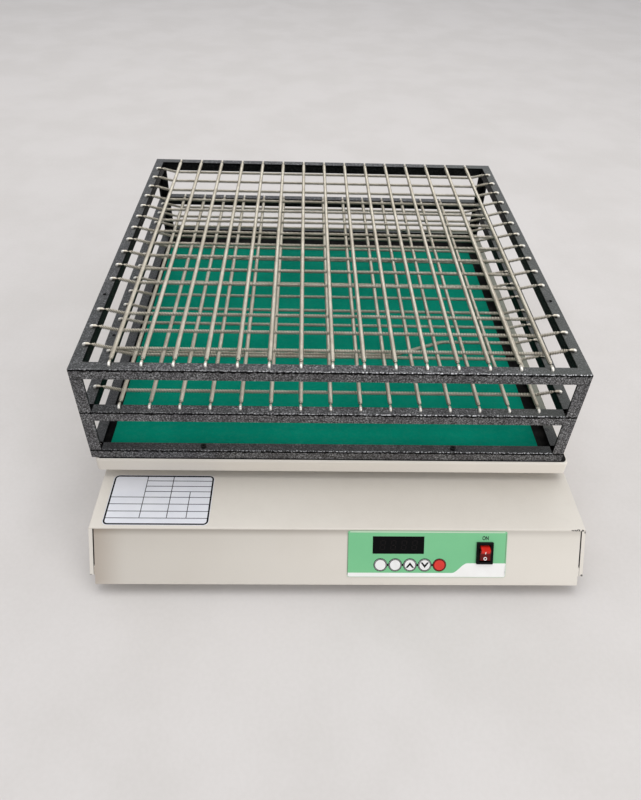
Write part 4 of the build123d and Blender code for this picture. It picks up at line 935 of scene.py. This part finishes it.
spring_levels = (("top", top_height, missing_top_cross), ("middle", middle_height, strayed_cross))
for place, level, missing in spring_levels:
    spring_row(f"{place}_long_coils", f"{place}_long_springs", level, True)
    spring_row(f"{place}_cross_coils", f"{place}_cross_springs", level, False, missing)

stray_start = 118 * MM
stray_end = 66 * MM
stray_gap = 4.3 * MM


def make_strayed_spring():
    """The cross spring whose left end lies on the tube, beside its neighbour in front."""
    own_left, right = row_place(strayed_cross, False, middle_height)
    neighbour = row_place(strayed_cross - 1, False, middle_height)[0]
    left = Vector((own_left.x, neighbour.y + stray_gap, own_left.z))
    low_left = dipped(left, RIGHT)
    low_right = dipped(right, -RIGHT)
    bm = bmesh.new()
    add_coil(bm, [body_start(left, RIGHT), low_left,
                  Vector((rack_middle.x + stray_end, left.y, low_left.z)),
                  Vector((rack_middle.x + stray_start, right.y, low_right.z)),
                  low_right, body_start(right, -RIGHT)])
    add_hook(bm, left, RIGHT, middle_height, into_hole=False)
    add_hook(bm, right, -RIGHT, middle_height)
    coil = mesh_object("strayed_coil", finished_mesh(bm, "strayed_coil", True), "spring_steel",
                       "shaking_platform")
    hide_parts("strayed_cross_spring")


make_strayed_spring()


# Prints on the control film, the keys, the switch and the label, as thin layers, and painted shadow lines
# at the film's sides

print_thickness = 0.04 * MM
weld_reach = 1e-6
smallest_facet = 1e-7
same_plane = 0.9999


def print_mesh(name, curve, place):
    """The mesh of a thin printed layer: a filled curve carried to its place."""
    curve.extrude = print_thickness / 2
    holder = show(f"{name}_outline", curve)
    bpy.context.view_layer.update()
    mesh = bpy.data.meshes.new_from_object(holder)
    bpy.data.objects.remove(holder)
    for vertex in mesh.vertices:
        x, y, z = vertex.co
        vertex.co = place(x, y, z + print_thickness / 2)
    bm = bmesh.new()
    bm.from_mesh(mesh)
    bmesh.ops.remove_doubles(bm, verts=bm.verts, dist=weld_reach)
    return finished_mesh(bm, name, False)


def outlines(name, loops):
    """A filled curve of closed outlines, with holes where one lies inside another."""
    curve = bpy.data.curves.new(name, "CURVE")
    curve.dimensions = "2D"
    curve.fill_mode = "BOTH"
    for loop in loops:
        spline = curve.splines.new("POLY")
        spline.points.add(len(loop) - 1)
        for point, (x, y) in zip(spline.points, loop):
            point.co = (x, y, 0, 1)
        spline.use_cyclic_u = True
    return curve


def flat_print(name, loops, place, ink, body):
    """A printed layer that rides on a body."""
    mesh_object(name, print_mesh(name, outlines(name, loops), place), ink, body)


def print_row(name, loops, place, ink, count, step):
    """A row of copies of one print on the base."""
    mesh = print_mesh(f"{name}_first", outlines(name, loops), place)
    row_of(name, mesh, ink, "base", count, (step, 0, 0))


def arc(x, y, radius, start, sweep=90, steps=8):
    """Points round a part of a circle, in degrees."""
    angles = [radians(start + sweep * k / steps) for k in range(steps + 1)]
    return [(x + radius * cos(angle), y + radius * sin(angle)) for angle in angles]


def circle(x, y, radius, steps=48):
    """A round outline."""
    return arc(x, y, radius, 0, 360, steps)[:-1]


def ring(x, y, outer, inner):
    """The two outlines of a ring."""
    return [circle(x, y, outer), circle(x, y, inner)]


def bar(x0, y0, x1, y1):
    """A rectangular outline."""
    return [(x0, y0), (x1, y0), (x1, y1), (x0, y1)]


def chevron(width, height, stroke, way, foot=0.9, notch=1.35):
    """An arrow head of two strokes about its middle, that points up or down. The strokes' feet and the
    notch between them are shares of the stroke."""
    half = width / 2
    tip = height * way / 2
    inner = half - stroke * foot
    fork = tip - stroke * notch * way
    return [(-half, -tip), (0, tip), (half, -tip), (inner, -tip), (0, fork), (-inner, -tip)]


def placing(middle, up, out):
    """A placing for outlines drawn about a place on a face that slopes up and looks out."""
    return lambda x, y, z: middle + RIGHT * x + up * y + out * z


def top_place(node):
    """A placing on the outer face of a key or the window, about its middle."""
    low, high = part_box(node)
    points = [v.co for v in nodes[node].data.vertices]
    ups = [p.dot(panel_up) for p in points]
    face = max(p.dot(panel_out) for p in points)
    middle = RIGHT * ((low.x + high.x) / 2) + panel_up * ((min(ups) + max(ups)) / 2) + panel_out * face
    return placing(middle, panel_up, panel_out)


def facet_place(node, facing):
    """A placing on the node's flat face that looks most nearly one way, about that face's middle."""
    faces = nodes[node].data.polygons
    best = max((p for p in faces if p.area > smallest_facet), key=lambda p: p.normal.dot(facing))
    normal = best.normal.copy()
    flat = [p for p in faces if p.normal.dot(normal) > same_plane]
    middle = sum((p.center * p.area for p in flat), Vector()) / sum(p.area for p in flat)
    return placing(middle, RIGHT.cross(normal) * -1, normal)


# The control film, with outlines drawn from its left edge and up from its top edge

film_points = [v.co for v in panel_faces.vertices]
film_left = min(p.x for p in film_points)
film_top = max(p.dot(panel_up) for p in film_points)
film_face = max(p.dot(panel_out) for p in film_points)
film_width = max(p.x for p in film_points) - film_left
film_height = film_top - min(p.dot(panel_up) for p in film_points)
film_place = placing(RIGHT * film_left + panel_up * film_top + panel_out * film_face, panel_up, panel_out)
film_corner = 2 * MM
film_edge = 0.2 * MM
band_top = 40.2 * MM
band_start = 97 * MM
band_end = 111.5 * MM
band_raised = 30.7 * MM
strip_height = 1.3 * MM
edge_shade_width = 0.45 * MM
right_shade_inset = 1.1 * MM
step_points = 16
corner_points = 6


def film_print(name, loops, ink):
    """A print on the film, or one of the painted shadow lines at its sides."""
    flat_print(name, loops, film_place, ink, "base")


def white_band():
    """The outline of the white lower band, which rises in a soft step towards the right."""
    corner = film_corner - film_edge
    right = film_width - film_edge
    low = -(film_height - film_edge)
    outline = [(film_edge, -band_top)]
    for k in range(step_points + 1):
        t = k / step_points
        down = band_top + (band_raised - band_top) * t * t * (3 - 2 * t)
        outline.append((band_start + (band_end - band_start) * t, -down))
    outline.append((right, -band_raised))
    for x, turn in ((right - corner, 0), (film_edge + corner, -90)):
        outline += arc(x, low + corner, corner, turn, -90, corner_points)
    return outline


film_print("white_band", [white_band()], "ink_white")
film_print("top_strip", [bar(film_corner, -film_edge - strip_height, film_width - film_corner, -film_edge)],
           "ink_pale")
# Painted shadow lines along the film's left and right sides.
for name, start in (("film_left_shade", 0.0), ("film_right_shade", film_width - right_shade_inset)):
    film_print(name, [bar(start, -film_height + film_corner, start + edge_shade_width, -film_corner)], "film_edge_shade")

keys = ("mode_key", "set_key", "up_key", "down_key", "start_stop_key")
key_first = 30.5 * MM
key_level = -32.5 * MM
key_pitch = 13.7 * MM
ring_inner = 5.8 * MM
ring_outer = 6.35 * MM
link_half = 1.1 * MM
print_row("key_rings", ring(key_first, key_level, ring_outer, ring_inner), film_place, "ink_black",
          len(keys), key_pitch)
print_row("key_links", [bar(key_first + ring_outer, key_level - link_half,
                            key_first + key_pitch - ring_outer, key_level + link_half)],
          film_place, "ink_black", len(keys) - 1, key_pitch)


# The keys' rims and arrows

cap_ring = 0.6 * MM
rim_inset = 0.25 * MM
arrow_sizes = mm(8.0, 5.4, 2.1)
for key in keys:
    key_low, key_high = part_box(key)
    cap_radius = (key_high.x - key_low.x) / 2 - rim_inset
    flat_print(f"{key}_rim", ring(0, 0, cap_radius, cap_radius - cap_ring), top_place(key), "ink_black",
               f"{key}_cap")
for name, key, way in (("up_arrow", "up_key", 1), ("down_arrow", "down_key", -1)):
    flat_print(name, [chevron(*arrow_sizes, way)], top_place(key), "ink_black", f"{key}_cap")


# The switch: the word over it, and the marks on its rocker

word_size = 4.2 * MM
word_stroke = 0.2 * MM
word_width = 0.9
word_height = 1.2
word_across = 127.2 * MM
word_down = 6.6 * MM
mark_half = 0.4 * MM
mark_low = -1.9 * MM
mark_high = 0.9 * MM
off_down = -1.0 * MM
off_outer = 1.6 * MM
off_inner = 0.95 * MM
upper_tilt = -28
lower_tilt = 4


def make_switch_word():
    """The word over the switch that says which way is on."""
    words = bpy.data.curves.new("switch_word", "FONT")
    words.body = "ON"
    words.size = word_size
    words.offset = word_stroke
    words.align_x = "CENTER"
    words.align_y = "CENTER"

    def place(x, y, z):
        return film_place(word_across + x * word_width, y * word_height - word_down, z)

    mesh_object("switch_word", print_mesh("switch_word", words, place), "ink_green", "base")


make_switch_word()
switch_marks = [("on_mark", upper_tilt, [bar(-mark_half, mark_low, mark_half, mark_high)]),
                ("off_mark", lower_tilt, ring(0, off_down, off_outer, off_inner))]
for name, tilt, loops in switch_marks:
    flank = panel_out * cos(radians(tilt)) + panel_up * sin(radians(tilt))
    flat_print(name, loops, facet_place("rocker_button", flank), "ink_white", "power_rocker")


# The digits of the display, dark behind their window

digit_count = 4
digit_first = 6.5 * MM
digit_pitch = 9.8 * MM
digit_width = 5.2 * MM
digit_half = 4.8 * MM
digit_stroke = 1.0 * MM
digit_gap = 0.2 * MM
digit_lean = 0.12


def make_unlit_digits():
    """Eights of seven bars each, one beside another."""
    low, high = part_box("display_window")
    about = top_place("display_window")
    left = digit_first - (high.x - low.x) / 2
    start = digit_gap + digit_stroke
    end = digit_width - start
    thick = digit_stroke / 2
    levels = (-digit_half + thick, 0.0, digit_half - thick)
    bars = [bar(start, y - thick, end, y + thick) for y in levels]
    near = digit_gap + thick
    far = digit_half - digit_gap - thick
    for low_y, high_y in ((-far, -near), (near, far)):
        for x in (0, digit_width - digit_stroke):
            bars.append(bar(x, low_y, x + digit_stroke, high_y))

    def place(x, y, z):
        return about(left + x + y * digit_lean, y, z)

    print_row("unlit_digits", bars, place, "unlit_red", digit_count, digit_pitch)


make_unlit_digits()


# The label's border and ruled lines

label_low, label_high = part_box("blank_label")
label_width = label_high.x - label_low.x
label_depth = label_high.y - label_low.y
label_columns = mm(32.6, 57.6, 75.6)
label_rows = mm(7.2, 6.8, 6.6, 7.0, 8.3, 8.5, 8.0)
border_inset = 0.5 * MM
border_width = 1.6 * MM
label_corner = 5 * MM
rule_half = 0.375 * MM
short_rows = 3
short_column = 2


def label_print(name, loops, ink):
    """A print on the label, drawn from its left front corner."""
    def place(x, y, z):
        return Vector((label_low.x + x, label_low.y + y, label_high.z + z))

    flat_print(name, loops, place, ink, "base")


def label_outline(inset):
    """The label's outline with its round corners, set in from its edge."""
    left, right = label_corner, label_width - label_corner
    front, back = label_corner, label_depth - label_corner
    corners = ((right, back, 0), (left, back, 90), (left, front, 180), (right, front, 270))
    return [point for x, y, turn in corners for point in arc(x, y, label_corner - inset, turn)]


def make_label_print():
    """A black border and fine ruled lines, with nothing written between them."""
    left = border_inset + border_width
    label_print("label_border", [label_outline(border_inset), label_outline(left)], "ink_black")
    levels = []
    y = label_depth
    for height in label_rows:
        y -= height
        levels.append(y)
    for i, y in enumerate(levels):
        start = label_columns[0] if i < short_rows else left
        rule = bar(start, y - rule_half, label_width - left, y + rule_half)
        label_print(f"label_rule_{i}", [rule], "ink_line")
    for i, x in enumerate(label_columns):
        top = levels[short_rows - 1] if i == short_column else label_depth - left
        label_print(f"label_column_{i}", [bar(x - rule_half, levels[-1], x + rule_half, top)], "ink_line")


make_label_print()


# Stage, light and camera

floor_half = 6.0
room_color = (0.93, 0.95, 1.0, 1.0)
room_strength = 0.62
camera_place = Vector((-35.79 * MM, -625.87 * MM, 550.1 * MM))
camera_forward = Vector((0.0278, 0.7471, -0.6642)).normalized()
camera_roll = radians(2.04)
camera_lens = 30.015
camera_sensor = 36
nearest_seen = 0.01


def make_floor():
    """A plain pale floor."""
    bm = bmesh.new()
    bmesh.ops.create_grid(bm, x_segments=1, y_segments=1, size=floor_half)
    floor = show("floor", finished_mesh(bm, "floor", False))
    floor.data.materials.append(finishes["floor_cloth"])


def add_light(name, place, target, size, power, color):
    """A square soft light that looks at a target."""
    data = bpy.data.lights.new(name, "AREA")
    data.shape = "SQUARE"
    data.size = size
    data.energy = power
    data.color = color
    light = show(name, data)
    light.location = place
    light.rotation_euler = (Vector(target) - Vector(place)).to_track_quat("-Z", "Y").to_euler()


def make_world():
    """The light of the room from all sides."""
    world = bpy.data.worlds.new("room")
    world.use_nodes = True
    feed(world.node_tree.nodes["Background"].inputs, {"Color": room_color, "Strength": room_strength})
    bpy.context.scene.world = world
    bpy.context.scene.view_settings.view_transform = "Standard"


def make_camera():
    """The camera at the photograph's place, looking the same way."""
    level_right = camera_forward.cross(UP).normalized()
    level_up = level_right.cross(camera_forward)
    right = level_right * cos(camera_roll) + level_up * sin(camera_roll)
    up = level_up * cos(camera_roll) - level_right * sin(camera_roll)
    data = bpy.data.cameras.new("camera")
    data.lens = camera_lens
    data.sensor_width = camera_sensor
    data.sensor_fit = "AUTO"
    data.clip_start = nearest_seen
    camera = show("camera", data)
    turn = Matrix((right, up, -camera_forward)).transposed()
    camera.matrix_world = Matrix.Translation(camera_place) @ turn.to_4x4()
    bpy.context.scene.camera = camera


make_floor()
add_light("ceiling_light", place=(-0.1, 0.4, 2.6), target=(0.0, 0.2, 0.1), size=2.8, power=44,
          color=(1.0, 0.985, 0.965))
add_light("window_light", place=(1.6, -1.7, 0.9), target=(0.0, 0.0, 0.1), size=1.4, power=18,
          color=(1.0, 0.985, 0.96))
make_world()
make_camera()
